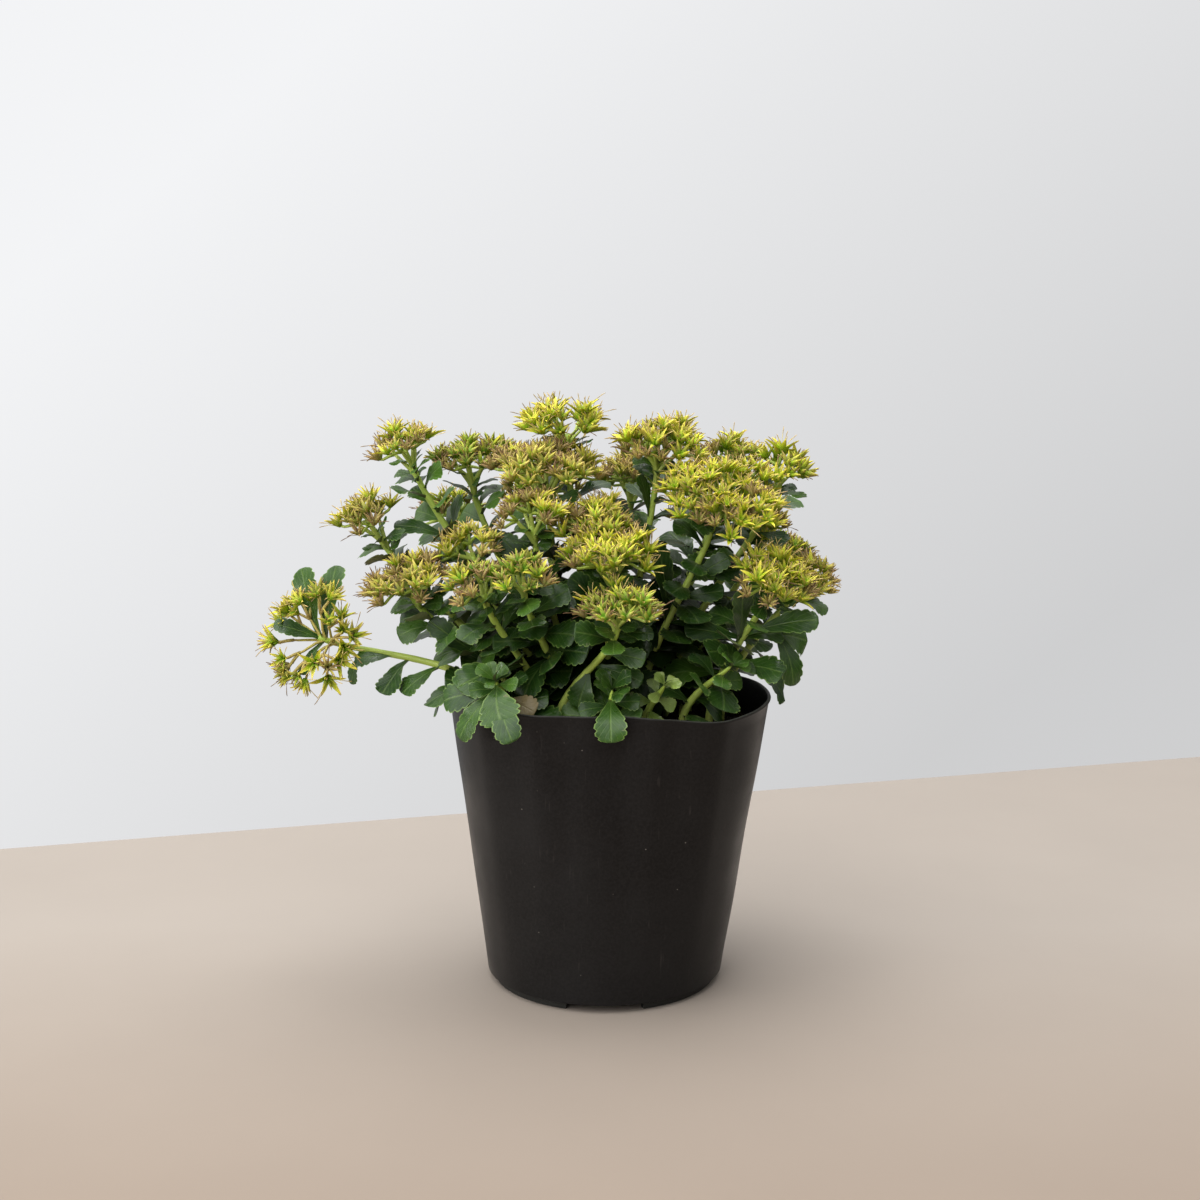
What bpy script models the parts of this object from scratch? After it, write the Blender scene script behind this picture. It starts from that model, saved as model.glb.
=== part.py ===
"""A potted sedum: a soft plastic nursery pot, its soil, leafy stems and flat-domed heads of star flowers.

Metres, +Z up. The plant is laid out round the pot's axis, and one empty carries every piece, set so that
the middle of the whole plant's box stands over the origin. The pot's foot ring rests at z = 0.
"""
import math
import random
from collections import namedtuple

import bmesh
import bpy
from mathutils import Matrix, Vector
from mathutils.bvhtree import BVHTree

# Where the pot's axis stands: the plant leans to -X, past the pot
POT_X = 0.0228
POT_Y = -0.0057

# Pot: a tapered thin wall, a step in above the floor, and a notched foot ring
POT_HEIGHT = 0.1255
MOUTH_RADIUS = 0.065
WALL_FOOT_RADIUS = 0.051
WALL = 0.001
FOOT_RADIUS = 0.0485
FOOT_WIDTH = 0.003
FOOT_HEIGHT = 0.003
STEP_RISE = 0.0006
FLOOR = 0.0014
POT_SIDES = 40
POT_MIDDLE = 0.069
NOTCH_WIDTH = 0.031
NOTCH_SKIN = 0.0002
NOTCH_ANGLES = (-90, 0, 90, 180)
DRAIN_RADIUS = 0.004
DRAIN_PLACE = 0.036
DRAIN_SIDES = 10

# The mouth is soft and out of round: (degrees round the pot, metres in or out of the true circle)
MOUTH_SHAPE = (
    (-122, -0.0055),
    (-104, -0.0100),
    (-84, -0.0115),
    (-66, -0.0055),
    (-44, 0.0055),
    (-26, 0.0070),
    (10, 0.0045),
    (60, -0.0010),
    (95, -0.0060),
    (140, -0.0020),
    (180, 0.0015),
    (215, -0.0005),
)
RIM_DIP = 0.0026
RIM_DIP_ANGLE = -47
RIM_DIP_SPREAD = 20

# Soil: a plug with a lumpy top and one plain blind hole for each stem
SOIL_TOP = 0.1115
SOIL_LUMP = 0.0010
SOIL_RINGS = (1.0, 0.5)
SOIL_EDGE_GAP = 0.0018
HOLE_DEPTH = 0.007
HOLE_SIDES = 5
HOLE_CUTTER_LENGTH = 0.02
TOUCH_GAP = 0.0003

# Stems: tubes that taper from the soil to the head, upright at first and then swept over to the head
STEM_ROOT_RADIUS = 0.0021
STEM_TIP_RADIUS = 0.0015
STEM_POINTS = 6
SHOOT_POINTS = 5
START_ABOVE_SOIL = 0.002
SHOOT_LEAN_RISE = 0.02
RISE_SHARE = 0.36
ARRIVE_SHARE = 0.30

# One row for each flowering stem: middle of the head, root on the soil, half width of the head, how far
# its axis leans along X and Y for each unit of height, and what its stars are
HEADS = (
    ((-0.086, 0.010, 0.231), (-0.033, 0.010), 0.0130, (-0.35, -0.05), "mixed"),
    ((-0.101, 0.000, 0.201), (-0.042, 0.004), 0.0140, (-0.50, -0.10), "faded"),
    ((-0.060, 0.025, 0.224), (-0.025, 0.016), 0.0160, (-0.15, 0.00), "seed"),
    ((-0.025, 0.010, 0.222), (-0.012, 0.006), 0.0225, (0.00, -0.15), "faded"),
    ((-0.016, 0.022, 0.242), (-0.006, 0.014), 0.0165, (0.00, 0.00), "open"),
    ((-0.031, -0.016, 0.205), (-0.014, -0.004), 0.0145, (-0.10, -0.20), "mixed"),
    ((-0.057, -0.010, 0.191), (-0.024, -0.002), 0.0130, (-0.20, -0.20), "faded"),
    ((-0.084, -0.015, 0.176), (-0.036, -0.007), 0.0165, (-0.35, -0.50), "faded"),
    ((-0.051, -0.036, 0.178), (-0.025, -0.016), 0.0125, (-0.20, -0.40), "seed"),
    ((-0.033, -0.044, 0.182), (-0.016, -0.015), 0.0110, (0.00, -0.60), "seed"),
    ((-0.003, -0.008, 0.200), (-0.003, -0.003), 0.0165, (0.00, -0.10), "mixed"),
    ((0.002, -0.030, 0.188), (0.001, -0.012), 0.0190, (0.00, -0.25), "open"),
    ((0.006, -0.052, 0.169), (-0.020, -0.029), 0.0155, (0.10, -0.40), "seed"),
    ((0.023, 0.005, 0.232), (0.008, 0.004), 0.0195, (0.05, -0.20), "open"),
    ((0.056, 0.026, 0.226), (0.020, 0.016), 0.0135, (0.15, 0.00), "mixed"),
    ((0.048, -0.014, 0.212), (0.015, -0.008), 0.0235, (0.15, -0.40), "open"),
    ((0.077, 0.004, 0.222), (0.027, 0.005), 0.0080, (0.30, -0.10), "open"),
    ((0.071, 0.016, 0.197), (0.034, 0.013), 0.0110, (0.30, -0.20), "faded"),
    ((0.071, -0.024, 0.178), (0.044, -0.014), 0.0170, (0.35, -0.50), "open"),
    ((0.088, 0.000, 0.176), (0.050, 0.001), 0.0110, (0.70, -0.20), "faded"),
    ((-0.128, -0.012, 0.154), (-0.045, -0.012), 0.0210, (-1.60, -1.00), "mixed"),
    ((-0.072, 0.058, 0.198), (-0.030, 0.028), 0.0150, (-0.30, 0.35), "seed"),
    ((-0.030, 0.062, 0.208), (-0.013, 0.026), 0.0175, (-0.10, 0.30), "mixed"),
    ((0.012, 0.056, 0.214), (0.004, 0.024), 0.0165, (0.00, 0.25), "faded"),
    ((0.050, 0.064, 0.196), (0.022, 0.029), 0.0170, (0.20, 0.40), "open"),
    ((0.082, 0.046, 0.180), (0.037, 0.022), 0.0130, (0.50, 0.30), "seed"),
)

# Leafy shoots with no flowers: tip, root on the soil
SHOOTS = (
    ((0.024, -0.047, 0.137), (0.016, -0.031)),
    ((-0.044, -0.044, 0.138), (-0.036, -0.031)),
    ((0.052, -0.032, 0.142), (0.032, -0.023)),
    ((-0.044, 0.050, 0.150), (-0.024, 0.039)),
    ((0.030, 0.058, 0.150), (0.012, 0.041)),
    ((0.003, -0.046, 0.135), (0.001, -0.039)),
)

# Leaf: spoon shaped, channelled, with teeth on the upper half of each side. Places are shares of its length
LEAF_THICKNESS = 0.0013
LEAF_SINK = 0.0012
LEAF_SLIMNESS = (0.54, 0.72)
LEAF_DROOP = (0.10, 0.45)
LEAF_FOLD = (0.15, 0.35)
LEAF_LIFT = (50, 84)
SHOULDER = 0.32
LOW_TOOTH = 0.58
NOTCH = 0.71
HIGH_TOOTH = 0.85
NOTCH_DEPTH = 0.78
RIDGE_PLACES = (0.40, 0.76)

# Leaves stand in a spiral and are longest low down. Each is tried a few times, further round and smaller
GOLDEN_ANGLE = math.radians(137.5)
LEAVES_ON_STEM = 7
LEAVES_ON_SHOOT = 6
LEAF_LONGEST = 0.027
LEAF_SHORTEST = 0.0175
SHOOT_LEAF = (0.014, 0.021)
LOWEST_LEAF = 0.127
LOWEST_SHARE = 0.42
HIGHEST_SHARE = 0.955
SHOOT_SHARES = (0.45, 0.98)
LEAF_CLEARANCE = 0.0004
LEAF_TRIES = 14
TRY_SWING = 0.25
TRY_SHRINK = 0.03

# Stars: tip radius, rise of the tips and radius of the notches between petals
STARS = {
    "seed": (0.0056, 0.0032, 0.0021),
    "faded": (0.0060, 0.0026, 0.0022),
    "open": (0.0080, 0.0012, 0.0021),
}
PETALS = 5
STAR_CROWN = 0.0010
STAR_STEP = 0.0050
STAR_CLEARANCE = 0.0002
STAR_LEAN = 0.9
OPEN_SPACING = 0.8
OPEN_IN_MIXED = 0.3
FEWEST_STARS = 3
LEAST_REACH = 0.0055
STAR_OVERHANG = 0.3
SPIRAL_START = 0.35
STAR_ROOT_SHARE = 0.30

# Head: a crown of stars over a smaller core, whose foot stands just clear of the stem's tip
CROWN_BASE = 0.006
CROWN_SHARE = 0.42
CROWN_FALL = 0.45
CROWN_JITTER = (-0.0008, 0.0012)
HEAD_MIDDLE = 0.62
CORE_SHARE = 0.50
CORE_SHOULDER = 0.42
CORE_BELOW_CROWN = 0.0022
CORE_SIDES = 6
CORE_FOOT_RADIUS = 0.0018
HEAD_GAP = 0.0006

STAR_SEED = 3107
LEAF_SEED = 3207
SHOOT_SEED = 3307
CAP_WELD = 0.00001
UNION_WELD = 0.000005

COLOURS = {
    "pot": ((0.012, 0.010, 0.009), 0.45),
    "soil": ((0.020, 0.013, 0.009), 0.95),
    "leaf": ((0.030, 0.095, 0.028), 0.40),
    "young_leaf": ((0.130, 0.220, 0.045), 0.45),
    "seed_star": ((0.260, 0.280, 0.060), 0.60),
    "faded_star": ((0.330, 0.210, 0.095), 0.70),
    "open_star": ((0.620, 0.480, 0.030), 0.50),
}
STAR_MATERIAL = {"seed": "seed_star", "faded": "faded_star", "mixed": "seed_star", "open": "open_star"}

ANGLES = [2 * math.pi * i / POT_SIDES for i in range(POT_SIDES)]
Flowering = namedtuple("Flowering", "stem head path foot axis half_width character")


def clear_scene():
    for item in list(bpy.data.objects):
        bpy.data.objects.remove(item, do_unlink=True)


def make_collection(name):
    group = bpy.data.collections.new(name)
    bpy.context.scene.collection.children.link(group)
    return group


def make_materials():
    made = {}
    for name, (colour, roughness) in COLOURS.items():
        material = bpy.data.materials.new(name)
        material.use_nodes = True
        shader = material.node_tree.nodes["Principled BSDF"]
        shader.inputs["Base Color"].default_value = (*colour, 1.0)
        shader.inputs["Roughness"].default_value = roughness
        shader.inputs["Metallic"].default_value = 0.0
        made[name] = material
    return made


def closed_mesh(name, points, faces):
    """A mesh from points and faces, with its faces turned to point out."""
    bm = bmesh.new()
    corners = [bm.verts.new(p) for p in points]
    for face in faces:
        bm.faces.new([corners[i] for i in face])
    bmesh.ops.recalc_face_normals(bm, faces=bm.faces)
    mesh = bpy.data.meshes.new(name)
    bm.to_mesh(mesh)
    bm.free()
    return mesh


def add_object(name, mesh, group, material=None):
    item = bpy.data.objects.new(name, mesh)
    group.objects.link(item)
    if material:
        mesh.materials.clear()
        mesh.materials.append(material)
    return item


def mouth_offset(angle):
    """How far the mouth stands out of its circle at an angle, eased between the shape's points."""
    degrees = math.degrees(angle)
    shape = MOUTH_SHAPE + ((MOUTH_SHAPE[0][0] + 360, MOUTH_SHAPE[0][1]),)
    degrees = (degrees - shape[0][0]) % 360 + shape[0][0]
    for (low, before), (high, after) in zip(shape, shape[1:]):
        if low <= degrees <= high:
            share = (1 - math.cos(math.pi * (degrees - low) / (high - low))) / 2
            return before + (after - before) * share
    return 0.0


def rim_height(angle):
    """Height of the rim, which sags a little where the mouth has its corner."""
    away = (math.degrees(angle) - RIM_DIP_ANGLE + 180) % 360 - 180
    return POT_HEIGHT - RIM_DIP * math.exp(-((away / RIM_DIP_SPREAD) ** 2))


def wall_radius(angle, height):
    """Outer radius of the wall: a straight taper, plus the mouth's shape fading out towards the foot."""
    share = (height - FOOT_HEIGHT) / (POT_HEIGHT - FOOT_HEIGHT)
    taper = WALL_FOOT_RADIUS + (MOUTH_RADIUS - WALL_FOOT_RADIUS) * share
    return taper + mouth_offset(angle) * max(0.0, share)


def loft(rings):
    """Points and triangles of a closed body through rings of (radius, height), its two ends left flat."""
    points = []
    for ring in rings:
        for angle, (radius, height) in zip(ANGLES, ring):
            points.append((radius * math.cos(angle), radius * math.sin(angle), height))
    faces = [tuple(range(POT_SIDES)), tuple(range(len(points) - POT_SIDES, len(points)))]
    for low in range(0, len(points) - POT_SIDES, POT_SIDES):
        high = low + POT_SIDES
        for i in range(POT_SIDES):
            j = (i + 1) % POT_SIDES
            faces += [(low + i, low + j, high + j), (low + i, high + j, high + i)]
    return points, faces


def make_pot(group, cutters, material):
    """The wall is lofted from a round foot to the misshapen mouth, and closed through the floor."""
    foot_inner = FOOT_RADIUS - FOOT_WIDTH
    rings = [
        [(foot_inner, FOOT_HEIGHT) for _ in ANGLES],
        [(foot_inner, 0.0) for _ in ANGLES],
        [(FOOT_RADIUS, 0.0) for _ in ANGLES],
        [(FOOT_RADIUS, FOOT_HEIGHT) for _ in ANGLES],
        [(WALL_FOOT_RADIUS, FOOT_HEIGHT + STEP_RISE) for _ in ANGLES],
        [(wall_radius(a, POT_MIDDLE), POT_MIDDLE) for a in ANGLES],
        [(wall_radius(a, rim_height(a)), rim_height(a)) for a in ANGLES],
        [(wall_radius(a, rim_height(a)) - WALL, rim_height(a)) for a in ANGLES],
        [(wall_radius(a, POT_MIDDLE) - WALL, POT_MIDDLE) for a in ANGLES],
        [(WALL_FOOT_RADIUS - WALL, FOOT_HEIGHT + FLOOR) for _ in ANGLES],
    ]
    pot = add_object("pot", closed_mesh("pot", *loft(rings)), group, material)
    for degrees in NOTCH_ANGLES:
        turn = Matrix.Rotation(math.radians(degrees), 4, "Z")
        bpy.ops.mesh.primitive_cube_add(size=1.0)
        notch = bpy.context.object
        notch.name = f"notch_cutter_{degrees % 360}"
        notch.matrix_world = (
            turn
            @ Matrix.Translation((FOOT_RADIUS - FOOT_WIDTH / 2, 0, 0))
            @ Matrix.Diagonal((FOOT_WIDTH * 2, NOTCH_WIDTH, 2 * (FOOT_HEIGHT - NOTCH_SKIN), 1))
        )
        bpy.ops.mesh.primitive_cylinder_add(vertices=DRAIN_SIDES, radius=DRAIN_RADIUS, depth=POT_MIDDLE / 4)
        drain = bpy.context.object
        drain.name = f"drain_cutter_{degrees % 360}"
        drain.matrix_world = turn @ Matrix.Translation((DRAIN_PLACE, 0, FOOT_HEIGHT))
        make_cutter(notch, cutters)
        make_cutter(drain, cutters)
    cut_by(pot, cutters)
    return pot


def make_cutter(item, cutters):
    for owner in list(item.users_collection):
        owner.objects.unlink(item)
    cutters.objects.link(item)
    item.hide_render = True
    item.display_type = "WIRE"


def cut_by(item, cutters):
    cut = item.modifiers.new("cut", "BOOLEAN")
    cut.operation = "DIFFERENCE"
    cut.operand_type = "COLLECTION"
    cut.collection = cutters
    cut.solver = "EXACT"


def soil_height(x, y):
    """The soil's top: low lumps from crossed waves."""
    lumps = math.sin(x * 210 + 1.3) * math.cos(y * 240 - 0.6) + 0.6 * math.sin((x + y) * 370)
    return SOIL_TOP + SOIL_LUMP * lumps / 1.6


def make_soil(group, cutters, roots, material):
    """A plug that stands on the pot's floor, with one blind hole for each stem."""
    low = FOOT_HEIGHT + FLOOR + TOUCH_GAP
    inset = WALL + SOIL_EDGE_GAP
    rings = [
        [(WALL_FOOT_RADIUS - inset, low) for _ in ANGLES],
        [(wall_radius(a, POT_MIDDLE) - inset, POT_MIDDLE) for a in ANGLES],
    ]
    for share in SOIL_RINGS:
        reach = [share * (wall_radius(a, SOIL_TOP) - inset) for a in ANGLES]
        rings.append([(r, soil_height(r * math.cos(a), r * math.sin(a))) for a, r in zip(ANGLES, reach)])
    soil = add_object("soil", closed_mesh("soil", *loft(rings)), group, material)
    radius = (STEM_ROOT_RADIUS + TOUCH_GAP) / math.cos(math.pi / HOLE_SIDES)
    for number, (x, y) in enumerate(roots, 1):
        middle = soil_height(x, y) - HOLE_DEPTH + HOLE_CUTTER_LENGTH / 2
        bpy.ops.mesh.primitive_cylinder_add(
            vertices=HOLE_SIDES, radius=radius, depth=HOLE_CUTTER_LENGTH, location=(x, y, middle)
        )
        hole = bpy.context.object
        hole.name = f"root_cutter_{number:02d}"
        make_cutter(hole, cutters)
    cut_by(soil, cutters)
    return soil


class Space:
    """The room that is already taken, so that nothing new crosses it."""

    def __init__(self):
        self.taken = []

    def add(self, owner, points, faces, free_faces=()):
        """free_faces are the ones that the owner's own later repeats keep clear of."""
        low = [min(p[i] for p in points) for i in range(3)]
        high = [max(p[i] for p in points) for i in range(3)]
        whole = BVHTree.FromPolygons(points, faces)
        free = BVHTree.FromPolygons(points, free_faces) if free_faces else None
        self.taken.append((owner, low, high, whole, free))

    def add_object(self, owner, item):
        evaluated = item.evaluated_get(bpy.context.evaluated_depsgraph_get())
        mesh = evaluated.to_mesh()
        points = [item.matrix_world @ v.co for v in mesh.vertices]
        self.add(owner, points, [tuple(p.vertices) for p in mesh.polygons])
        evaluated.to_mesh_clear()

    def crosses(self, points, faces, own=(), free_faces=()):
        """The owner of what these faces cross. Own pieces are only tested where both are free."""
        low = [min(p[i] for p in points) for i in range(3)]
        high = [max(p[i] for p in points) for i in range(3)]
        whole = BVHTree.FromPolygons(points, faces)
        free = BVHTree.FromPolygons(points, free_faces) if free_faces else None
        for owner, other_low, other_high, other_whole, other_free in self.taken:
            if any(low[i] > other_high[i] or high[i] < other_low[i] for i in range(3)):
                continue
            if owner not in own:
                hit = whole.overlap(other_whole)
            else:
                hit = free and other_free and free.overlap(other_free)
            if hit:
                return owner
        return None


def bezier(start, rise, arrive, end, count):
    """Points of a cubic Bezier curve."""
    points = []
    for i in range(count):
        t = i / (count - 1)
        s = 1 - t
        points.append(start * s**3 + rise * (3 * s * s * t) + arrive * (3 * s * t * t) + end * t**3)
    return points


def stem_path(root, tip, axis, count):
    """Straight up out of its hole, then in one sweep to the tip, where it arrives along the axis."""
    x, y = root
    start = Vector((x, y, soil_height(x, y) + START_ABOVE_SOIL))
    bottom = Vector((x, y, soil_height(x, y) - HOLE_DEPTH + TOUCH_GAP))
    span = (tip - start).length
    rise = start + Vector((0, 0, span * RISE_SHARE))
    arrive = tip - axis * span * ARRIVE_SHARE
    return [bottom] + bezier(start, rise, arrive, tip, count - 1)


def tube_mesh(name, path, radii):
    """A square-sided tube along a path, from a bevelled curve, welded at its caps."""
    curve = bpy.data.curves.new(name, "CURVE")
    curve.dimensions = "3D"
    curve.bevel_depth = 1.0
    curve.bevel_resolution = 0
    curve.use_fill_caps = True
    spline = curve.splines.new("POLY")
    spline.points.add(len(path) - 1)
    for knot, place, radius in zip(spline.points, path, radii):
        knot.co = (*place, 1.0)
        knot.radius = radius
    holder = bpy.data.objects.new(name, curve)
    bpy.context.scene.collection.objects.link(holder)
    evaluated = holder.evaluated_get(bpy.context.evaluated_depsgraph_get())
    mesh = bpy.data.meshes.new_from_object(evaluated)
    bpy.data.objects.remove(holder, do_unlink=True)
    bpy.data.curves.remove(curve)
    bm = bmesh.new()
    bm.from_mesh(mesh)
    bmesh.ops.remove_doubles(bm, verts=bm.verts, dist=CAP_WELD)
    bmesh.ops.recalc_face_normals(bm, faces=bm.faces)
    bm.to_mesh(mesh)
    bm.free()
    return mesh


def leaf_width(t):
    """Half width of a spoon-shaped leaf at t of its length, as a share of its widest half."""
    return math.sin(math.pi * t**1.8) ** 0.75


def leaf_shape(length, width, droop, fold, thickness):
    """A toothed blade, thick along its midrib and thin at its edge, that runs along +Y from its root."""
    side = [(t, leaf_width(t)) for t in (SHOULDER, LOW_TOOTH, NOTCH, HIGH_TOOTH)]
    side[2] = (NOTCH, leaf_width(NOTCH) * NOTCH_DEPTH)
    points = []

    def add(t, across, sink):
        height = fold * abs(across) * width / 2 - droop * length * t * t - sink
        points.append(Vector((across * width / 2, t * length, height)))
        return len(points) - 1

    points.append(Vector((0, -LEAF_SINK, 0)))
    end = add(1.0, 0, 0)
    edges = {sign: [add(t, sign * w, 0) for t, w in side] for sign in (-1, 1)}
    faces = []
    for sink in (0, thickness):
        near, far = [add(t, 0, sink) for t in RIDGE_PLACES]
        for sign in (-1, 1):
            shoulder, tooth, *rest = edges[sign]
            faces += [(0, shoulder, near), (near, shoulder, tooth), (near, tooth, far)]
            row = [tooth] + rest + [end]
            faces += [(far, a, b) for a, b in zip(row, row[1:])]
    return points, faces


def leaf_frame(place, along, up):
    """Puts a leaf's root at a place, its length along one direction and its face towards another."""
    y = along.normalized()
    x = y.cross(up).normalized()
    z = x.cross(y)
    frame = Matrix((x, y, z)).transposed().to_4x4()
    frame.translation = place
    return frame


def along_path(path, share):
    """The point and direction at a share of a path's length."""
    steps = [(b - a).length for a, b in zip(path, path[1:])]
    left = share * sum(steps)
    for a, b, step in zip(path, path[1:], steps):
        if left <= step:
            return a.lerp(b, left / step), (b - a).normalized()
        left -= step
    return path[-1].copy(), (path[-1] - path[-2]).normalized()


def without_root(faces):
    return [face for face in faces if 0 not in face]


def place_leaves(owner, path, shares, sizes, draw, space):
    """Leaves in a spiral up a stem, each turned, raised or made smaller until it is clear."""
    placed = []
    turn = draw.uniform(0, 2 * math.pi)
    for share, size in zip(shares, sizes):
        turn += GOLDEN_ANGLE
        place, rising = along_path(path, share)
        across = rising.orthogonal().normalized()
        slim = draw.uniform(*LEAF_SLIMNESS)
        droop = draw.uniform(*LEAF_DROOP)
        fold = draw.uniform(*LEAF_FOLD)
        for attempt in range(LEAF_TRIES):
            swing = turn + draw.uniform(-TRY_SWING, TRY_SWING) * attempt
            lift = math.radians(draw.uniform(*LEAF_LIFT))
            length = size * (1 - TRY_SHRINK * attempt)
            out = Matrix.Rotation(swing, 3, rising) @ across
            along = rising * math.cos(lift) + out * math.sin(lift)
            frame = leaf_frame(place, along, rising + 2 * Vector((0, 0, 1)))
            points, faces = leaf_shape(length, length * slim, droop, fold, LEAF_THICKNESS)
            grown = 2 * LEAF_CLEARANCE
            wide, _ = leaf_shape(length + grown, length * slim + grown, droop, fold, LEAF_THICKNESS + grown)
            tests = (
                [frame @ (p - Vector((0, LEAF_CLEARANCE, 0))) for p in wide],
                [frame @ (p + Vector((0, 0, LEAF_CLEARANCE))) for p in points],
            )
            if any(space.crosses(test, faces, {owner}, without_root(faces)) for test in tests):
                continue
            points = [frame @ p for p in points]
            space.add(owner, points, faces, without_root(faces))
            placed.append((points, faces))
            break
    return placed


def star_shape(centre, axis, spin, kind, root):
    """A five-pointed star on a slim cone that runs down to its root inside the head."""
    tip_radius, rise, notch_radius = STARS[kind]
    side = axis.orthogonal().normalized()
    points = [centre + axis * STAR_CROWN, root]
    step = 2 * math.pi / PETALS
    for i in range(PETALS):
        notch = Matrix.Rotation(spin + step * (i - 0.5), 3, axis) @ side
        tip = Matrix.Rotation(spin + step * i, 3, axis) @ side
        points.append(centre + notch * notch_radius)
        points.append(centre + tip * tip_radius + axis * rise)
    faces = []
    for i in range(PETALS):
        notch, tip, following = 2 + 2 * i, 3 + 2 * i, 2 + 2 * ((i + 1) % PETALS)
        faces += [(0, notch, tip), (0, tip, following), (tip, notch, following), (1, following, notch)]
    return points, faces


def crown_height(half_width):
    return CROWN_BASE + CROWN_SHARE * half_width


def core_shape(foot, axis, half_width):
    """The head's core: a small dome on a short foot, which the stars stand out of."""
    side = axis.orthogonal().normalized()
    crown = crown_height(half_width)
    rows = ((CORE_FOOT_RADIUS, 0.0), (CORE_SHARE * half_width, CORE_SHOULDER * crown))
    points = []
    for radius, height in rows:
        for i in range(CORE_SIDES):
            out = Matrix.Rotation(2 * math.pi * i / CORE_SIDES, 3, axis) @ side
            points.append(foot + out * radius + axis * height)
    points.append(foot + axis * (crown - CORE_BELOW_CROWN))
    faces = [tuple(range(CORE_SIDES))]
    for i in range(CORE_SIDES):
        j = (i + 1) % CORE_SIDES
        faces.append((i, j, CORE_SIDES + j, CORE_SIDES + i))
        faces.append((CORE_SIDES + i, CORE_SIDES + j, 2 * CORE_SIDES))
    return points, faces


def place_stars(row, draw, space):
    """Stars in a sunflower spiral over the dome. One that would cross another head is left out."""
    foot, axis, half_width, character = row.foot, row.axis, row.half_width, row.character
    widest = STARS["open" if character == "open" else "seed"][0]
    reach = max(half_width - (1 - STAR_OVERHANG) * widest, LEAST_REACH)
    spacing = OPEN_SPACING if character == "open" else 1.0
    count = max(FEWEST_STARS, round((reach / STAR_STEP) ** 2 * spacing))
    crown = crown_height(half_width)
    side = axis.orthogonal().normalized()
    other = axis.cross(side)
    start = draw.uniform(0, 2 * math.pi)
    placed = []
    for i in range(count):
        radius = reach * math.sqrt((i + SPIRAL_START) / count)
        angle = start + i * GOLDEN_ANGLE
        out = side * math.cos(angle) + other * math.sin(angle)
        height = crown * (1 - CROWN_FALL * (radius / half_width) ** 2) + draw.uniform(*CROWN_JITTER)
        centre = foot + out * radius + axis * height
        lean = (axis + out * (STAR_LEAN * radius / half_width)).normalized()
        kind = character
        if character == "mixed":
            kind = "open" if draw.random() < OPEN_IN_MIXED else "seed"
        root = foot + out * (radius * STAR_ROOT_SHARE) + axis * (CORE_SHOULDER * crown)
        points, faces = star_shape(centre, lean, draw.uniform(0, GOLDEN_ANGLE), kind, root)
        grown = [p + (p - centre) * (STAR_CLEARANCE / widest) for p in points]
        if space.crosses(grown, faces, {row.head}):
            continue
        space.add(row.head, points, faces)
        placed.append((points, faces))
    return placed


def union(name, base_mesh, shapes, group, material):
    """One Boolean union of a mesh and its repeats, applied, with the repeats' objects then removed."""
    item = add_object(name, base_mesh, group, material)
    if not shapes:
        return item
    repeats = make_collection(f"{name}_repeats")
    for number, (points, faces) in enumerate(shapes):
        add_object(f"{name}_repeat_{number}", closed_mesh(f"{name}_repeat", points, faces), repeats)
    join = item.modifiers.new("join", "BOOLEAN")
    join.operation = "UNION"
    join.operand_type = "COLLECTION"
    join.collection = repeats
    join.solver = "EXACT"
    evaluated = item.evaluated_get(bpy.context.evaluated_depsgraph_get())
    joined = bpy.data.meshes.new_from_object(evaluated)
    item.modifiers.clear()
    item.data = joined
    for repeat in list(repeats.objects):
        mesh = repeat.data
        bpy.data.objects.remove(repeat, do_unlink=True)
        bpy.data.meshes.remove(mesh)
    bpy.data.collections.remove(repeats)
    bm = bmesh.new()
    bm.from_mesh(joined)
    scraps = [face for body in bodies(bm)[1:] for face in body]
    bmesh.ops.delete(bm, geom=scraps, context="FACES")
    bm.to_mesh(joined)
    bmesh.ops.remove_doubles(bm, verts=bm.verts, dist=UNION_WELD)
    if all(len(edge.link_faces) == 2 for edge in bm.edges) and len(bodies(bm)) == 1:
        bm.to_mesh(joined)
    bm.free()
    joined.materials.clear()
    joined.materials.append(material)
    return item


def bodies(bm):
    """The separate bodies of a mesh, the one with the most faces first."""
    left = set(bm.faces)
    found = []
    while left:
        front = [left.pop()]
        body = set(front)
        while front:
            face = front.pop()
            for edge in face.edges:
                for neighbour in edge.link_faces:
                    if neighbour in left:
                        left.discard(neighbour)
                        body.add(neighbour)
                        front.append(neighbour)
        found.append(body)
    return sorted(found, key=len, reverse=True)


def lay_out_stems():
    """Where every stem runs and every head sits, worked out from the two tables."""
    flowering = []
    for number, (middle, root, half_width, lean, character) in enumerate(HEADS, 1):
        axis = Vector((*lean, 1.0)).normalized()
        foot = Vector(middle) - axis * (HEAD_MIDDLE * crown_height(half_width))
        path = stem_path(root, foot - axis * HEAD_GAP, axis, STEM_POINTS)
        names = (f"stem_{number:02d}", f"head_{number:02d}")
        flowering.append(Flowering(*names, path, foot, axis, half_width, character))
    shoots = {}
    for number, (tip, root) in enumerate(SHOOTS, 1):
        lean = Vector((tip[0] - root[0], tip[1] - root[1], SHOOT_LEAN_RISE)).normalized()
        shoots[f"shoot_{number:02d}"] = stem_path(root, Vector(tip), lean, SHOOT_POINTS)
    return flowering, shoots


def make_tube(name, path, space):
    last = len(path) - 1
    radii = [STEM_ROOT_RADIUS + (STEM_TIP_RADIUS - STEM_ROOT_RADIUS) * i / last for i in range(last + 1)]
    tube = tube_mesh(name, path, radii)
    claim(name, [v.co.copy() for v in tube.vertices], [tuple(p.vertices) for p in tube.polygons], space)
    return tube


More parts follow.
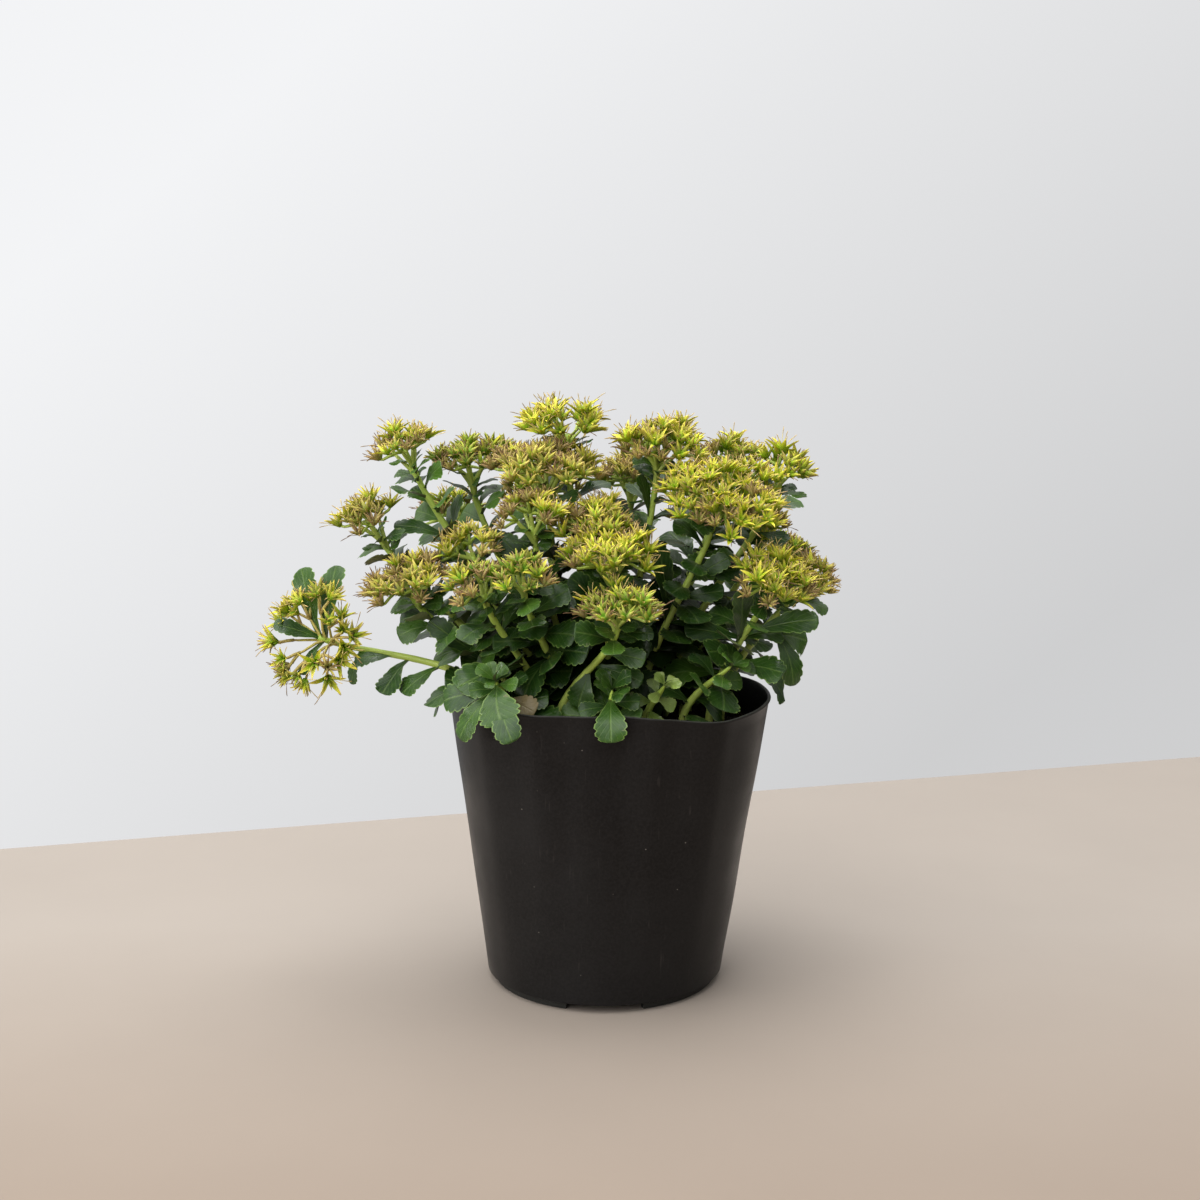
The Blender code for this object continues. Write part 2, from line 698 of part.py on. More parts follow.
def claim(name, points, faces, space):
    """Takes the room of a tube or a core, and says so if a row of the tables puts it through another."""
    hit = space.crosses(points, faces)
    if hit:
        print(name, "crosses", hit)
    space.add(name, points, faces)


def spread(low, high, count):
    return [low + (high - low) * i / (count - 1) for i in range(count)]


def make_plant():
    clear_scene()
    plant = make_collection("potted_sedum")
    pot_cutters = make_collection("pot_cutters")
    soil_cutters = make_collection("soil_cutters")
    materials = make_materials()
    space = Space()
    roots = [row[1] for row in HEADS] + [row[1] for row in SHOOTS]
    space.add_object("pot", make_pot(plant, pot_cutters, materials["pot"]))
    space.add_object("soil", make_soil(plant, soil_cutters, roots, materials["soil"]))

    flowering, shoots = lay_out_stems()
    tubes = {row.stem: make_tube(row.stem, row.path, space) for row in flowering}
    tubes |= {name: make_tube(name, path, space) for name, path in shoots.items()}
    for row in flowering:
        claim(row.head, *core_shape(row.foot, row.axis, row.half_width), space)

    for number, row in enumerate(flowering):
        draw = random.Random(STAR_SEED + number)
        stars = place_stars(row, draw, space)
        core = closed_mesh(row.head, *core_shape(row.foot, row.axis, row.half_width))
        union(row.head, core, stars, plant, materials[STAR_MATERIAL[row.character]])

    hole_bottom = SOIL_TOP - HOLE_DEPTH
    for number, row in enumerate(flowering):
        draw = random.Random(LEAF_SEED + number)
        lowest = (LOWEST_LEAF - hole_bottom) / (row.path[-1].z - hole_bottom)
        shares = spread(min(LOWEST_SHARE, lowest), HIGHEST_SHARE, LEAVES_ON_STEM)
        sizes = spread(LEAF_LONGEST, LEAF_SHORTEST, LEAVES_ON_STEM)
        leaves = place_leaves(row.stem, row.path, shares, sizes, draw, space)
        union(row.stem, tubes[row.stem], leaves, plant, materials["leaf"])
    for number, (name, path) in enumerate(shoots.items()):
        draw = random.Random(SHOOT_SEED + number)
        shares = spread(*SHOOT_SHARES, LEAVES_ON_SHOOT)
        sizes = [draw.uniform(*SHOOT_LEAF) for _ in shares]
        leaves = place_leaves(name, path, shares, sizes, draw, space)
        union(name, tubes[name], leaves, plant, materials["young_leaf"])

    stand = bpy.data.objects.new("stand", None)
    stand.location = (POT_X, POT_Y, 0)
    for group in (plant, pot_cutters, soil_cutters):
        for item in group.objects:
            item.parent = stand
    plant.objects.link(stand)


make_plant()
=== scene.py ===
import math

import bpy
import numpy as np
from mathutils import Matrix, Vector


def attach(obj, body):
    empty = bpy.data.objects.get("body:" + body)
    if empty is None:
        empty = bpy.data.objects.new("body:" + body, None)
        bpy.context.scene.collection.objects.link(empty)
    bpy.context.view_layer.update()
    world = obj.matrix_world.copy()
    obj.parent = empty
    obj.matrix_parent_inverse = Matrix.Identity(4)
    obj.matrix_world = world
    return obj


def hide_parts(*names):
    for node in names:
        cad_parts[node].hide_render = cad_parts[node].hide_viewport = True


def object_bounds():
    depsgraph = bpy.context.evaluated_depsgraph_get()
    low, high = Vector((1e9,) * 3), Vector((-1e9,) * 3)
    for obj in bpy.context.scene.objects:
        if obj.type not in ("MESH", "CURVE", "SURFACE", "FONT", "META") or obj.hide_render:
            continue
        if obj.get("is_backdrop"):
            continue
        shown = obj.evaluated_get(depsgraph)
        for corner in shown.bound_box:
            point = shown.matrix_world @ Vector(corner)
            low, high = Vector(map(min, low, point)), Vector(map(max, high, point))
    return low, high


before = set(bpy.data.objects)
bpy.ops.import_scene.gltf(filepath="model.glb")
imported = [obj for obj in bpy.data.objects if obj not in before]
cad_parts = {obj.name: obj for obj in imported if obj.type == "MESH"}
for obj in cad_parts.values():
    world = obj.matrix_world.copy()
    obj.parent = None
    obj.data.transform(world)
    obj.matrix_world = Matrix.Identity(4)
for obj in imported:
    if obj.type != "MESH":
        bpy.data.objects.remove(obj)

cadLow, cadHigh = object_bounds()
print("frame loaded with", len(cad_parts), "solids")

# Where the pot's axis stands. Everything below is laid out round that axis, in metres.
potPlace = np.array([0.0228, -0.0057, 0.0])
fullTurn = 2 * math.pi
goldenTurn = math.radians(137.5)

# The plant's layout, as in the solids, in millimetres.
# middle of the head, root on the soil, half width of the head, lean of its axis, what its flowers are
heads = [
    ((-86, 10, 231), (-33, 10), 13, (-0.35, -0.05), "mixed"),
    ((-101, 0, 201), (-42, 4), 14, (-0.50, -0.10), "faded"),
    ((-60, 25, 224), (-25, 16), 16, (-0.15, 0.00), "seed"),
    ((-25, 10, 222), (-12, 6), 22.5, (0.00, -0.15), "faded"),
    ((-16, 22, 242), (-6, 14), 16.5, (0.00, 0.00), "open"),
    ((-31, -16, 205), (-14, -4), 14.5, (-0.10, -0.20), "mixed"),
    ((-57, -10, 191), (-24, -2), 13, (-0.20, -0.20), "faded"),
    ((-84, -15, 176), (-36, -7), 16.5, (-0.35, -0.50), "faded"),
    ((-51, -36, 178), (-25, -16), 12.5, (-0.20, -0.40), "seed"),
    ((-33, -44, 182), (-16, -15), 11, (0.00, -0.60), "seed"),
    ((-3, -8, 200), (-3, -3), 16.5, (0.00, -0.10), "mixed"),
    ((2, -30, 188), (1, -12), 19, (0.00, -0.25), "open"),
    ((6, -52, 169), (-20, -29), 15.5, (0.10, -0.40), "seed"),
    ((23, 5, 232), (8, 4), 19.5, (0.05, -0.20), "open"),
    ((56, 26, 226), (20, 16), 13.5, (0.15, 0.00), "mixed"),
    ((48, -14, 212), (15, -8), 23.5, (0.15, -0.40), "open"),
    ((77, 4, 222), (27, 5), 8, (0.30, -0.10), "open"),
    ((71, 16, 197), (34, 13), 11, (0.30, -0.20), "faded"),
    ((71, -24, 178), (44, -14), 17, (0.35, -0.50), "open"),
    ((88, 0, 176), (50, 1), 11, (0.70, -0.20), "faded"),
    ((-128, -12, 154), (-45, -12), 21, (-1.60, -1.00), "mixed"),
    ((-72, 58, 198), (-30, 28), 15, (-0.30, 0.35), "seed"),
    ((-30, 62, 208), (-13, 26), 17.5, (-0.10, 0.30), "mixed"),
    ((12, 56, 214), (4, 24), 16.5, (0.00, 0.25), "faded"),
    ((50, 64, 196), (22, 29), 17, (0.20, 0.40), "open"),
    ((82, 46, 180), (37, 22), 13, (0.50, 0.30), "seed"),
]
# tip and root on the soil of the shoots without flowers
shoots = [
    ((24, -47, 137), (16, -31)),
    ((-44, -44, 138), (-36, -31)),
    ((52, -32, 142), (32, -23)),
    ((-44, 50, 150), (-24, 39)),
    ((30, 58, 150), (12, 41)),
    ((3, -46, 135), (1, -39)),
]


# Meshes.
def unit(v):
    return v / np.linalg.norm(v, axis=-1, keepdims=True)


# A vector square to v, turned by nothing else: v crossed with a fixed slanting direction.
def squareTo(v):
    return unit(np.cross(v, np.array([0.31, 0.95, 0.12])))


# Closed rings carried along paths: centre + side * across + up * rise at every ring point.
# centre, side and up are (bodies, stations, 3); across and rise are (bodies, stations, ring points).
def sweepRings(centre, side, up, across, rise):
    return centre[:, :, None] + side[:, :, None] * across[..., None] + up[:, :, None] * rise[..., None]


# One mesh from grids of rings: quads between neighbouring rings and a flat cap on both ends of each body.
def makePiece(name, parts, materials, offset=potPlace):
    fields = ("along", "across", "under", "tone", "age", "shade")
    points, polygons, slots, start = [], [], [], 0
    values = {field: [] for field in fields}
    for part in parts:
        grid = part["points"]
        shape = grid.shape[:3]
        index = np.arange(grid[..., 0].size).reshape(shape) + start
        beside = np.roll(index, -1, axis=2)
        quads = np.stack([index[:, :-1], index[:, 1:], beside[:, 1:], beside[:, :-1]], axis=-1).reshape(-1, 4)
        caps = np.concatenate([index[:, 0], index[:, -1, ::-1]])
        polygons += quads.tolist() + caps.tolist()
        slots += [part.get("slot", 0)] * (len(quads) + len(caps))
        points.append(grid.reshape(-1, 3))
        for field in fields:
            values[field].append(np.broadcast_to(part.get(field, 0.0), shape).ravel())
        start += index.size
    mesh = bpy.data.meshes.new(name)
    mesh.from_pydata(np.concatenate(points) + offset, [], polygons)
    for material in materials:
        mesh.materials.append(material)
    mesh.polygons.foreach_set("material_index", slots)
    mesh.polygons.foreach_set("use_smooth", np.ones(len(polygons), bool))
    for field in fields:
        mesh.attributes.new(field, "FLOAT", "POINT").data.foreach_set(
            "value", np.concatenate(values[field]).astype(np.float32)
        )
    # blades keep a crisp rim: an edge between two rim points is sharp
    ends = np.empty(len(mesh.edges) * 2, np.int32)
    mesh.edges.foreach_get("vertices", ends)
    rim = np.abs(np.concatenate(values["across"])) > 0.99
    sharp = rim[ends.reshape(-1, 2)].all(axis=1)
    mesh.attributes.new("sharp_edge", "BOOLEAN", "EDGE").data.foreach_set("value", sharp)
    mesh.validate()
    item = bpy.data.objects.new(name, mesh)
    bpy.context.scene.collection.objects.link(item)
    return item


# Round tubes: a circle of the given radii along paths of (bodies, stations, 3).
def tubeRings(path, radius, sides):
    ahead = unit(np.gradient(path, axis=1))
    side = squareTo(ahead)
    up = np.cross(side, ahead)
    turn = np.arange(sides) * fullTurn / sides
    radius = np.broadcast_to(radius, path.shape[:2])[..., None]
    return sweepRings(path, side, up, radius * np.cos(turn), radius * np.sin(turn))


# Blades: from its base each one runs along a direction and bends away from its face by bend * s ** 1.25.
# halfWidth, height and depth are the half width, the rise of the rim and the thickness at every station.
def bladeRings(base, along, face, length, bend, twist, stations, halfWidth, height, depth, ringAcross):
    s = stations[None, :, None]
    angle = bend[:, None, None] * s**1.25
    side = np.cross(along, face)[:, None] * np.ones_like(s)
    ahead = along[:, None] * np.cos(angle) - face[:, None] * np.sin(angle)
    up = face[:, None] * np.cos(angle) + along[:, None] * np.sin(angle)
    step = np.diff(stations)[None, :, None] * length[:, None, None]
    run = np.cumsum((ahead[:, 1:] + ahead[:, :-1]) / 2 * step, axis=1)
    centre = base[:, None] + np.concatenate([np.zeros_like(run[:, :1]), run], axis=1)
    roll = twist[:, None, None] * s
    side, up = side * np.cos(roll) + up * np.sin(roll), up * np.cos(roll) - side * np.sin(roll)
    across = (halfWidth if halfWidth.ndim == 3 else halfWidth[..., None]) * ringAcross
    rise = height[..., None] * np.abs(ringAcross) ** 1.4
    rise[..., -1] = -depth
    return sweepRings(centre, side, up, across, rise)


# Points of cubic curves at t, from their four control points of (bodies, 3).
def curvePoints(a, b, c, d, t):
    a, b, c, d = (np.atleast_2d(p)[:, None] for p in (a, b, c, d))
    t = t[None, :, None]
    return a * (1 - t) ** 3 + b * 3 * t * (1 - t) ** 2 + c * 3 * t * t * (1 - t) + d * t**3


# Materials. A node tree with a short method for each kind of node that the finishes are built from.
# A value is a number, a colour of three numbers, or another node's output.
class Nodes:
    def __init__(self, tree):
        self.tree = tree

    def put(self, socket, value):
        if hasattr(value, "is_output"):
            self.tree.links.new(value, socket)
        else:
            socket.default_value = (*value, 1.0) if socket.type == "RGBA" else value

    def fill(self, inputs, values):
        for key, value in values.items():
            self.put(inputs[key.replace("_", " ")], value)

    def add(self, kind, **values):
        node = self.tree.nodes.new(kind)
        self.fill(node.inputs, values)
        return node

    def place(self):
        return self.add("ShaderNodeTexCoord").outputs["Object"]

    def field(self, name):
        node = self.add("ShaderNodeAttribute")
        node.attribute_name = name
        return node.outputs["Fac"]

    def noise(self, scale, detail=4.0, roughness=0.55, vector=None):
        vector = self.place() if vector is None else vector
        node = self.add("ShaderNodeTexNoise", Scale=scale, Detail=detail, Roughness=roughness, Vector=vector)
        return node.outputs["Fac"]

    def maths(self, operation, a, b=0.0, clamp=False):
        node = self.add("ShaderNodeMath")
        node.operation = operation
        node.use_clamp = clamp
        self.put(node.inputs[0], a)
        self.put(node.inputs[1], b)
        return node.outputs[0]

    def times(self, a, b, clamp=False):
        return self.maths("MULTIPLY", a, b, clamp)

    def plus(self, a, b, clamp=False):
        return self.maths("ADD", a, b, clamp)

    def minus(self, a, b):
        return self.maths("SUBTRACT", a, b)

    # 0 below low and 1 above high, straight between them (or the other way when low is the larger)
    def between(self, value, low, high, least=0.0, most=1.0):
        node = self.add("ShaderNodeMapRange", Value=value, From_Min=low, From_Max=high)
        self.fill(node.inputs, {"To_Min": least, "To_Max": most})
        return node.outputs["Result"]

    def blend(self, share, a, b, kind="MIX"):
        node = self.add("ShaderNodeMix")
        node.data_type = "RGBA"
        node.blend_type = kind
        for socket, value in zip((0, 6, 7), (share, a, b)):
            self.put(node.inputs[socket], value)
        return node.outputs[2]

    # the second colour lies over the first where the mask is 1, as strongly as the strength says
    def over(self, colour, mask, strength, second):
        return self.blend(self.times(mask, strength), colour, second)

    def grey(self, value):
        return self.add("ShaderNodeCombineColor", Red=value, Green=value, Blue=value).outputs[0]


# A new material, whose shader takes the values and outputs that it is given.
class Finish(Nodes):
    def __init__(self, name, roughness, specular=0.5, coat=0.0, coatRoughness=0.3):
        self.material = bpy.data.materials.new(name)
        self.material.use_nodes = True
        super().__init__(self.material.node_tree)
        self.shader = self.tree.nodes["Principled BSDF"]
        self.give(Roughness=roughness, Specular_IOR_Level=specular)
        self.give(Coat_Weight=coat, Coat_Roughness=coatRoughness)

    def give(self, **values):
        self.fill(self.shader.inputs, values)

    def bump(self, height, strength, distance):
        node = self.add("ShaderNodeBump", Strength=strength, Distance=distance, Height=height)
        self.give(Normal=node.outputs["Normal"])


leafFinish = {
    # deep sets how strongly the painted shade inside the plant darkens a leaf; the colour of that shade and the
    # duller shine left under it are given below
    "veins": 0.06, "midrib": 0.22, "edge": 0.50, "under": 0.85, "specks": 0.10, "deep": 0.85, "spent": 0.9,
    "speckColour": (0.5, 0.6, 0.35), "paintedShadeColour": (0.001, 0.005, 0.001), "spentColour": (0.22, 0.165, 0.085),
    "shine": 0.40, "paintedShadeShine": 0.12, "gloss": (0.26, 0.44), "underGloss": 0.22,
}


# Fleshy leaf: green varied from leaf to leaf and in soft clouds, a pale rim that stands in also for a painted
# highlight on the blade's rounded edge, a pale midrib, faint side veins, a duller, paler underside, and painted
# shade inside the plant that darkens the green and dulls the shine. A tone of 1 makes the leaf a spent, brown
# one.
def leafMaterial(name, dark, light, rim, under, rimFrom):
    look = leafFinish
    leaf = Finish(name, 0.34, specular=look["shine"], coat=0.10, coatRoughness=0.18)
    across = leaf.maths("ABSOLUTE", leaf.field("across"))
    clouds = leaf.between(leaf.noise(160.0, 3.0), 0.35, 0.68)
    colour = leaf.blend(leaf.plus(leaf.times(leaf.field("tone"), 0.75), leaf.times(clouds, 0.3)), dark, light)
    veins = leaf.minus(leaf.times(leaf.field("along"), 44.0), leaf.times(across, 16.0))
    veins = leaf.between(leaf.maths("SINE", veins), 0.72, 1.0)
    midrib = leaf.between(across, 0.10, 0.0)
    below = leaf.times(leaf.field("under"), 7.0, clamp=True)
    specks = leaf.between(leaf.noise(1400.0, 2.0), 0.66, 0.78)
    spent = leaf.between(leaf.field("tone"), 0.993, 0.996)
    colour = leaf.over(colour, veins, look["veins"], rim)
    colour = leaf.over(colour, midrib, look["midrib"], rim)
    # pale rim on the edge: partly the leaf's own pale margin, partly a painted highlight on the rounded edge
    colour = leaf.over(colour, leaf.between(across, rimFrom, 0.985), look["edge"], rim)
    colour = leaf.over(colour, below, look["under"], under)
    colour = leaf.over(colour, specks, look["specks"], look["speckColour"])
    # painted shade inside the plant: the green darkens towards near-black, and the shine drops with it
    colour = leaf.over(colour, leaf.field("shade"), look["deep"], look["paintedShadeColour"])
    colour = leaf.over(colour, spent, look["spent"], look["spentColour"])
    shine = leaf.between(leaf.field("shade"), 0.0, 1.0, look["shine"], look["paintedShadeShine"])
    gloss = leaf.between(leaf.noise(260.0), 0.3, 0.7, *look["gloss"])
    gloss = leaf.plus(gloss, leaf.times(below, look["underGloss"]))
    leaf.give(Base_Color=colour, Specular_IOR_Level=shine, Roughness=gloss)
    height = leaf.plus(leaf.times(leaf.noise(900.0, 3.0), 0.55), leaf.times(veins, -0.5))
    leaf.bump(leaf.minus(height, leaf.times(midrib, 1.4)), 0.55, 0.0002)
    return leaf.material


# Stem: yellow-green flesh, greener towards the head, with green patches and small brown leaf scars.
def stemMaterial(name, low, high):
    stem = Finish(name, 0.42, specular=0.45, coat=0.1)
    patches = stem.between(stem.noise(130.0), 0.40, 0.70)
    scars = stem.between(stem.noise(420.0, 5.0), 0.66, 0.74)
    colour = stem.blend(stem.field("along"), low, high)
    colour = stem.over(colour, patches, 0.25, (0.12, 0.22, 0.04))
    colour = stem.over(colour, scars, 0.35, (0.20, 0.15, 0.06))
    stem.give(Base_Color=colour, Roughness=stem.between(stem.noise(500.0), 0.3, 0.7, 0.34, 0.52))
    stem.bump(stem.noise(700.0), 0.5, 0.0002)
    return stem.material


# Petals and pods: a base colour that turns to a tip colour along the blade, and both to a dry one with age.
def flowerMaterial(name, base, tip, dry, tipFrom, roughness):
    skin = Finish(name, roughness, specular=0.14)
    along = skin.between(skin.field("along"), tipFrom, 1.0)
    mottle = skin.minus(skin.between(skin.noise(420.0), 0.36, 0.66), 0.5)
    ageing = skin.plus(skin.field("age"), skin.times(mottle, 0.45))
    ageing = skin.plus(ageing, skin.times(along, 0.18), clamp=True)
    colour = skin.blend(ageing, skin.blend(along, base, tip), dry)
    tint = skin.grey(skin.between(skin.field("tone"), 0.0, 1.0, 0.74, 1.30))
    gloss = skin.between(skin.noise(800.0), 0.3, 0.7, roughness - 0.1, roughness + 0.12)
    skin.give(Base_Color=skin.blend(1.0, colour, tint, "MULTIPLY"), Roughness=gloss)
    skin.bump(skin.noise(1500.0, 3.0), 0.5, 0.0001)
    return skin.material


potFinish = {
    "dark": (0.0048, 0.0046, 0.0048), "light": (0.0092, 0.0089, 0.0090),
    # on this line, after the grain, the painted highlight on the rim and the foot ring: its lighter colour and
    # how strongly it shows
    "grain": (0.0145, 0.0135, 0.0138), "grains": 0.55, "paintedHighlight": (0.050, 0.052, 0.046), "paintedHighlightShare": 0.8,
    "scuff": (0.12, 0.10, 0.09), "scuffs": 0.16, "dust": (0.30, 0.27, 0.24), "dustShare": 0.55,
}


# Pot: thin moulded plastic, black-brown, with a fine moulding grain, a painted highlight as a lighter line on
# the rim and the foot ring, faint upright scuffs and dust.
def potMaterial():
    look = potFinish
    shell = Finish("pot_plastic", 0.37, specular=0.20)
    place = shell.place()
    clouds = shell.between(shell.noise(26.0, 5.0, vector=place), 0.35, 0.68)
    grains = shell.between(shell.noise(950.0, 3.0, vector=place), 0.36, 0.64, 0.0, look["grains"])
    stretched = shell.add("ShaderNodeMapping", Vector=place, Scale=(1.0, 1.0, 0.10)).outputs[0]
    scuffs = shell.between(shell.noise(620.0, 3.0, vector=stretched), 0.66, 0.80)
    specks = shell.add("ShaderNodeTexVoronoi", Scale=150.0, Vector=place).outputs["Distance"]
    dusty = shell.between(shell.noise(70.0, 2.0, vector=place), 0.50, 0.62)
    dust = shell.times(shell.between(specks, 0.055, 0.020), dusty)
    colour = shell.blend(clouds, look["dark"], look["light"])
    colour = shell.blend(grains, colour, look["grain"])
    # painted highlight: a lighter line on the rim and the foot ring, where the tone is set
    colour = shell.over(colour, shell.field("tone"), look["paintedHighlightShare"], look["paintedHighlight"])
    colour = shell.over(colour, scuffs, look["scuffs"], look["scuff"])
    colour = shell.over(colour, dust, look["dustShare"], look["dust"])
    gloss = shell.between(shell.noise(55.0, 6.0, vector=place), 0.3, 0.7, 0.31, 0.43)
    shell.give(Base_Color=colour, Roughness=shell.plus(gloss, shell.times(scuffs, 0.15)))
    grain = shell.times(shell.noise(2600.0, 2.0, vector=place), 0.45)
    shell.bump(shell.plus(grain, shell.noise(34.0, 3.0, vector=place)), 0.25, 0.0004)
    return shell.material


# Soil: dark peat with brown fibres, pale grains and a rough, dull face.
def soilMaterial():
    peat = Finish("potting_soil", 0.92, specular=0.2)
    fibres = peat.between(peat.noise(240.0, 6.0, 0.7), 0.35, 0.70)
    grains = peat.between(peat.noise(900.0, 2.0), 0.70, 0.76)
    colour = peat.blend(fibres, (0.008, 0.005, 0.0035), (0.050, 0.030, 0.018))
    peat.give(Base_Color=peat.over(colour, grains, 0.7, (0.20, 0.15, 0.10)))
    peat.bump(peat.noise(700.0, 6.0, 0.7), 0.9, 0.0008)
    return peat.material


# dark and light flesh, a pale rim colour (on the edge it stands in also for a painted highlight), underside,
# and how far out the rim's colour begins
leafGreen = leafMaterial("leaf_flesh", (0.011, 0.045, 0.0050), (0.086, 0.200, 0.020),
                         (0.34, 0.52, 0.12), (0.170, 0.195, 0.090), 0.90)
youngGreen = leafMaterial("young_leaf_flesh", (0.130, 0.220, 0.030), (0.290, 0.390, 0.080),
                          (0.46, 0.57, 0.18), (0.16, 0.22, 0.08), 0.86)
stemGreen = stemMaterial("stem_flesh", (0.50, 0.58, 0.130), (0.45, 0.62, 0.090))
# colours of base, tip and dry skin, how far up the tip's colour begins, roughness
petalYellow = flowerMaterial(
    "petal_skin", (0.34, 0.50, 0.014), (0.94, 0.79, 0.095), (0.50, 0.35, 0.15), 0.36, 0.5)
strandTan = flowerMaterial("strand_skin", (0.72, 0.66, 0.16), (0.76, 0.56, 0.24), (0.26, 0.16, 0.09), 0.40, 0.7)
podSkins = {
    kind: flowerMaterial(f"{kind}_pod_skin", base, tip, (0.42, 0.30, 0.15), tipFrom, roughness)
    for kind, base, tip, tipFrom, roughness in (
        ("open", (0.26, 0.44, 0.014), (0.87, 0.75, 0.080), 0.34, 0.52),
        ("mixed", (0.19, 0.36, 0.014), (0.79, 0.67, 0.090), 0.36, 0.52),
        ("seed", (0.12, 0.27, 0.014), (0.52, 0.53, 0.065), 0.38, 0.52),
        ("faded", (0.22, 0.32, 0.020), (0.77, 0.62, 0.140), 0.34, 0.56),
    )
}
print("materials ready")

# The pot.
potLook = {
    "height": 0.1255, "mouthRadius": 0.065, "wallFootRadius": 0.051, "wall": 0.001,
    "footRadius": 0.0485, "footWidth": 0.003, "footHeight": 0.003, "floor": 0.0014, "notchWidth": 0.031,
    "notchSkin": 0.0002, "drainRadius": 0.004, "drainPlace": 0.036,
    "rimDip": 0.0026, "rimDipAt": -47, "rimDipSpread": 20,
    "dent": 0.00022, "edge": 0.0004, "floorMiddle": 0.0006,
    "lip": ((0.00015, 0.0012), (0.00035, 0.0006), (0.0002, 0.0001)),    # how far out, and how far under the rim
    # strength of the painted highlight on the rim and on the foot ring
    "rimHighlight": 1.0, "footHighlight": 0.4,
    # degrees round the mouth, and how far it stands out of a true circle there
    "mouth": [(-122, -0.0055), (-104, -0.0100), (-84, -0.0115), (-66, -0.0055), (-44, 0.0055), (-26, 0.0070),
              (10, 0.0045), (60, -0.0010), (95, -0.0060), (140, -0.0020), (180, 0.0015), (215, -0.0005)],
}


# The mouth's offset eases from one listed place to the next along half a cosine.
def mouthOffset(angle):
    places = np.array(potLook["mouth"] + [(238, potLook["mouth"][0][1])])
    degrees = (np.degrees(angle) + 122) % 360 - 122
    after = np.clip(np.searchsorted(places[:, 0], degrees, side="right"), 1, len(places) - 1)
    low, high = places[after - 1], places[after]
    share = (1 - np.cos(np.pi * (degrees - low[..., 0]) / (high[..., 0] - low[..., 0]))) / 2
    return low[..., 1] + (high[..., 1] - low[..., 1]) * share


# The rim is level but for one dip, a bell curve over the angle.
def rimHeight(angle):
    away = (np.degrees(angle) - potLook["rimDipAt"] + 180) % 360 - 180
    return potLook["height"] - potLook["rimDip"] * np.exp(-((away / potLook["rimDipSpread"]) ** 2))


# Outer radius of the wall: a straight taper plus the mouth's offset, which fades out towards the foot.
def wallRadius(angle, height):
    share = np.maximum(0.0, (height - potLook["footHeight"]) / (potLook["height"] - potLook["footHeight"]))
    taper = potLook["wallFootRadius"] + (potLook["mouthRadius"] - potLook["wallFootRadius"]) * share
    return taper + mouthOffset(angle) * share


# Rings of (radius, height), numbers or one value for each angle, as points round the pot's axis.
def turnRings(rings, angle):
    radius, height = (np.array([value + 0 * angle for value in column]) for column in zip(*rings))
    return np.stack([radius * np.cos(angle), radius * np.sin(angle), height], axis=-1)[None][:, :, ::-1]


# The pot is one profile (outside, rim, inside and floor) turned round the axis, with its radius and height
# worked out again at every angle; the foot ring's underside rises to the floor in the four notches.
def makePot():
    look = potLook
    foot, base, wallFoot, wall = look["footRadius"], look["footHeight"], look["wallFootRadius"], look["wall"]
    edge, inner, top = look["edge"], foot - look["footWidth"], base + look["floor"]
    notch = math.asin(look["notchWidth"] / 2 / (foot - look["footWidth"] / 2))
    sides = [(k, side * (notch + shift)) for k in range(4) for side in (-1, 1) for shift in (-0.004, 0.004)]
    close = [k * np.pi / 2 + away for k, away in sides]
    angle = np.sort(np.concatenate([np.linspace(0, fullTurn, 180, endpoint=False), close]) % fullTurn)
    fromNotch = np.abs((angle + np.pi / 4) % (np.pi / 2) - np.pi / 4)
    underside = np.where(fromNotch < notch, base - look["notchSkin"], 0.0)
    rim = rimHeight(angle)
    outer = wallRadius(angle, rim)
    rings = [
        (look["floorMiddle"], base), (inner * 0.5, base), (inner - edge, base),
        (inner, np.maximum(underside, base - edge)), (inner, underside + edge / 2), (inner + 0.0003, underside),
        (foot - edge, underside), (foot, underside + edge), (foot, base), (wallFoot - 0.0012, base + 0.0001),
    ]
    for share in np.linspace(0.006, 0.985, 26):
        z = base + (rim - base) * share
        dents = np.sin(3 * angle + 40 * z) * np.sin(70 * z) + 0.5 * np.sin(7 * angle - 90 * z)
        rings.append((wallRadius(angle, z) + look["dent"] * dents * min(1.0, share * 8), z))
    rings += [(outer + out, rim - down) for out, down in look["lip"]]
    rings += [(outer - wall / 2, rim), (outer - wall, rim - 0.0003)]
    for share in np.linspace(0.98, 0.02, 14):
        z = base + (rim - base) * share
        rings.append((wallRadius(angle, z) - wall, z))
    rings += [(wallFoot - 0.0016, top), (look["floorMiddle"], top)]
    paintedHighlight = np.zeros(len(rings))    # painted highlight: the rim and the foot ring get a lighter line
    paintedHighlight[-19:-16] = look["rimHighlight"]
    paintedHighlight[6:9] = look["footHighlight"]
    shell = {"points": turnRings(rings, angle), "tone": paintedHighlight[None, :, None]}
    pot = makePiece("pot_shell", [shell], [potMaterial()])
    cutters = []
    for k in range(4):
        turn = k * np.pi / 2
        drain = [look["drainPlace"] * math.cos(turn), look["drainPlace"] * math.sin(turn), base]
        bpy.ops.mesh.primitive_cylinder_add(
            vertices=32, radius=look["drainRadius"], depth=0.02, location=potPlace + drain
        )
        cutters.append(bpy.context.object)
        cut = pot.modifiers.new("drain", "BOOLEAN")
        cut.operation = "DIFFERENCE"
        cut.object = cutters[-1]
    mesh = bpy.data.meshes.new_from_object(pot.evaluated_get(bpy.context.evaluated_depsgraph_get()))
    pot.modifiers.clear()
    pot.data = mesh
    mesh.set_sharp_from_angle(angle=math.radians(38))
    for cutter in cutters:
        bpy.data.objects.remove(cutter)
    return pot


pot = makePot()
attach(pot, "root")
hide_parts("pot")
print("pot made")

